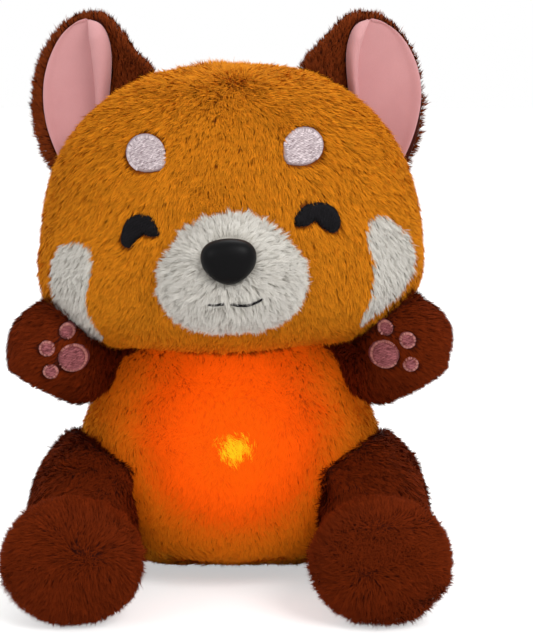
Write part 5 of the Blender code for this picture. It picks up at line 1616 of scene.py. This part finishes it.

# %% [markdown]
# Hardware behind the flap and inside the toy keeps its CAD shape: case, screws, cells, contacts,
# switch and lamp. What it lacks is a finish. Moulded parts share one grain group with their own
# colours; the board, the cells, the lamp and the closure tapes get patterns of their own, and the cells' sleeves also
# get streaks of painted sheen.

# %% Hardware finishes
CASE_WHITE = moulded_material("case_white", (218, 217, 212), (236, 235, 231), 0.42, 2200, 0.4, 0.15)
BUTTON_BLACK = moulded_material("switch_black", (22, 22, 23), (34, 34, 36), 0.4, 2600, 0.4, 0.12)
NICKEL = moulded_material("nickel_plate", (176, 174, 168), (206, 204, 198), 0.22, 4200, 0.5, 0.06, 1.0)
LEAD_VINYL = moulded_material("lead_vinyl", (150, 16, 14), (186, 30, 24), 0.45, 900, 0.4, 0.1)
MILKY_DOME = moulded_material("milky_dome", (232, 214, 190), (244, 230, 208), 0.3, 1500, 0.4, 0.05)
AMBER_LENS = moulded_material("amber_lens", (255, 150, 30), (255, 190, 70), 0.15, 2000, 0.5, 0.02)
for finish, scale, strength, stops in (
        (MILKY_DOME, 70, 1.2, ((0.3, (255, 150, 40)), (0.7, (255, 190, 90)))),
        (AMBER_LENS, 220, 3.0, ((0.2, (255, 120, 10)), (0.8, (255, 170, 50))))):
    tree = finish.node_tree
    shine_out(finish, ramp(tree, pattern(tree, "Noise", scale), stops), strength)


def banded_material(name, body, band, low, high):
    """A printed sleeve: one plain band between two heights, on a body with faint pale streaks of painted sheen."""
    material, tree, sockets = new_material(name, 0.3, 0.0, 0.5)
    place = add_node(tree, "ShaderNodeTexCoord")
    height = add_node(tree, "ShaderNodeSeparateXYZ", {0: place.outputs["Object"]}).outputs[2]
    in_band = math_node(tree, "MULTIPLY", math_node(tree, "GREATER_THAN", height, low),
                        math_node(tree, "LESS_THAN", height, high))
    # One noise paints faint sheen into the body colour and also gives the sleeve a fine relief.
    sheen_and_relief = pattern(tree, "Noise", 140)
    sheen_streaked = mix_colour(tree, math_node(tree, "MULTIPLY", sheen_and_relief, 0.4), body, colour(90, 92, 96))
    feed(tree, sockets["Base Color"], mix_colour(tree, in_band, sheen_streaked, band))
    emboss(tree, sheen_and_relief, 0.05, 0.0002)
    return material


def board_material():
    """Green solder resist with paler copper tracks under it and round tinned pads."""
    material, tree, sockets = new_material("board_green", 0.35, 0.0, 0.5)
    tracks = pattern(tree, "Wave", 120, Distortion=1.5)
    tracks.node.bands_direction = "DIAGONAL"
    track = math_node(tree, "GREATER_THAN", tracks, 0.8)
    pad = math_node(tree, "LESS_THAN", pattern(tree, "Voronoi", 330, "Distance"), 0.22)
    green = mix_colour(tree, track, colour(12, 84, 38), colour(34, 122, 58))
    feed(tree, sockets["Base Color"], mix_colour(tree, pad, green, colour(186, 186, 176)))
    emboss(tree, track, 0.3, 0.0001)
    return material


def tape_material():
    material, tree, sockets = new_material("closure_tape", 0.75, 0.2, 0.2)
    loops = pattern(tree, "Voronoi", 900, "Distance")
    fuzz = math_node(tree, "MULTIPLY", pattern(tree, "Noise", 1500), 0.5)
    shade = mix_colour(tree, loops, colour(74, 40, 26), colour(40, 18, 10))
    feed(tree, sockets["Base Color"], mix_colour(tree, fuzz, shade, colour(96, 58, 40)))
    emboss(tree, loops, 0.8, 0.0006)
    return material


cell_low, cell_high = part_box("battery_cell_1")
cell_length = cell_high[2] - cell_low[2]
HARDWARE = (
    (CASE_WHITE, ("battery_case", "case_cover", "battery_door", "lamp_base", "nose_washer", "light_button")),
    (BUTTON_BLACK, ("tact_switch",)),
    (NICKEL, ("cover_screw_1", "cover_screw_2", "door_screw", "contact_plate_low_1", "contact_plate_low_2",
              "contact_plate_top_1", "contact_plate_top_2")),
    (board_material(), ("lamp_board", "switch_board")),
    (LEAD_VINYL, ("lamp_lead",)),
    (MILKY_DOME, ("lamp_diffuser",)),
    (AMBER_LENS, ("led",)),
    (banded_material("cell_sleeve", colour(34, 36, 40), colour(196, 120, 40), cell_low[2] + 0.62 * cell_length,
                     cell_low[2] + 0.9 * cell_length), ("battery_cell_1", "battery_cell_2", "battery_cell_3")),
    (tape_material(), ("closure_hook_tape", "closure_loop_tape")),
)
for finish, nodes in HARDWARE:
    for node in nodes:
        for slot in NODES[node].material_slots:
            slot.material = finish
    print(finish.name, "on", ", ".join(nodes))
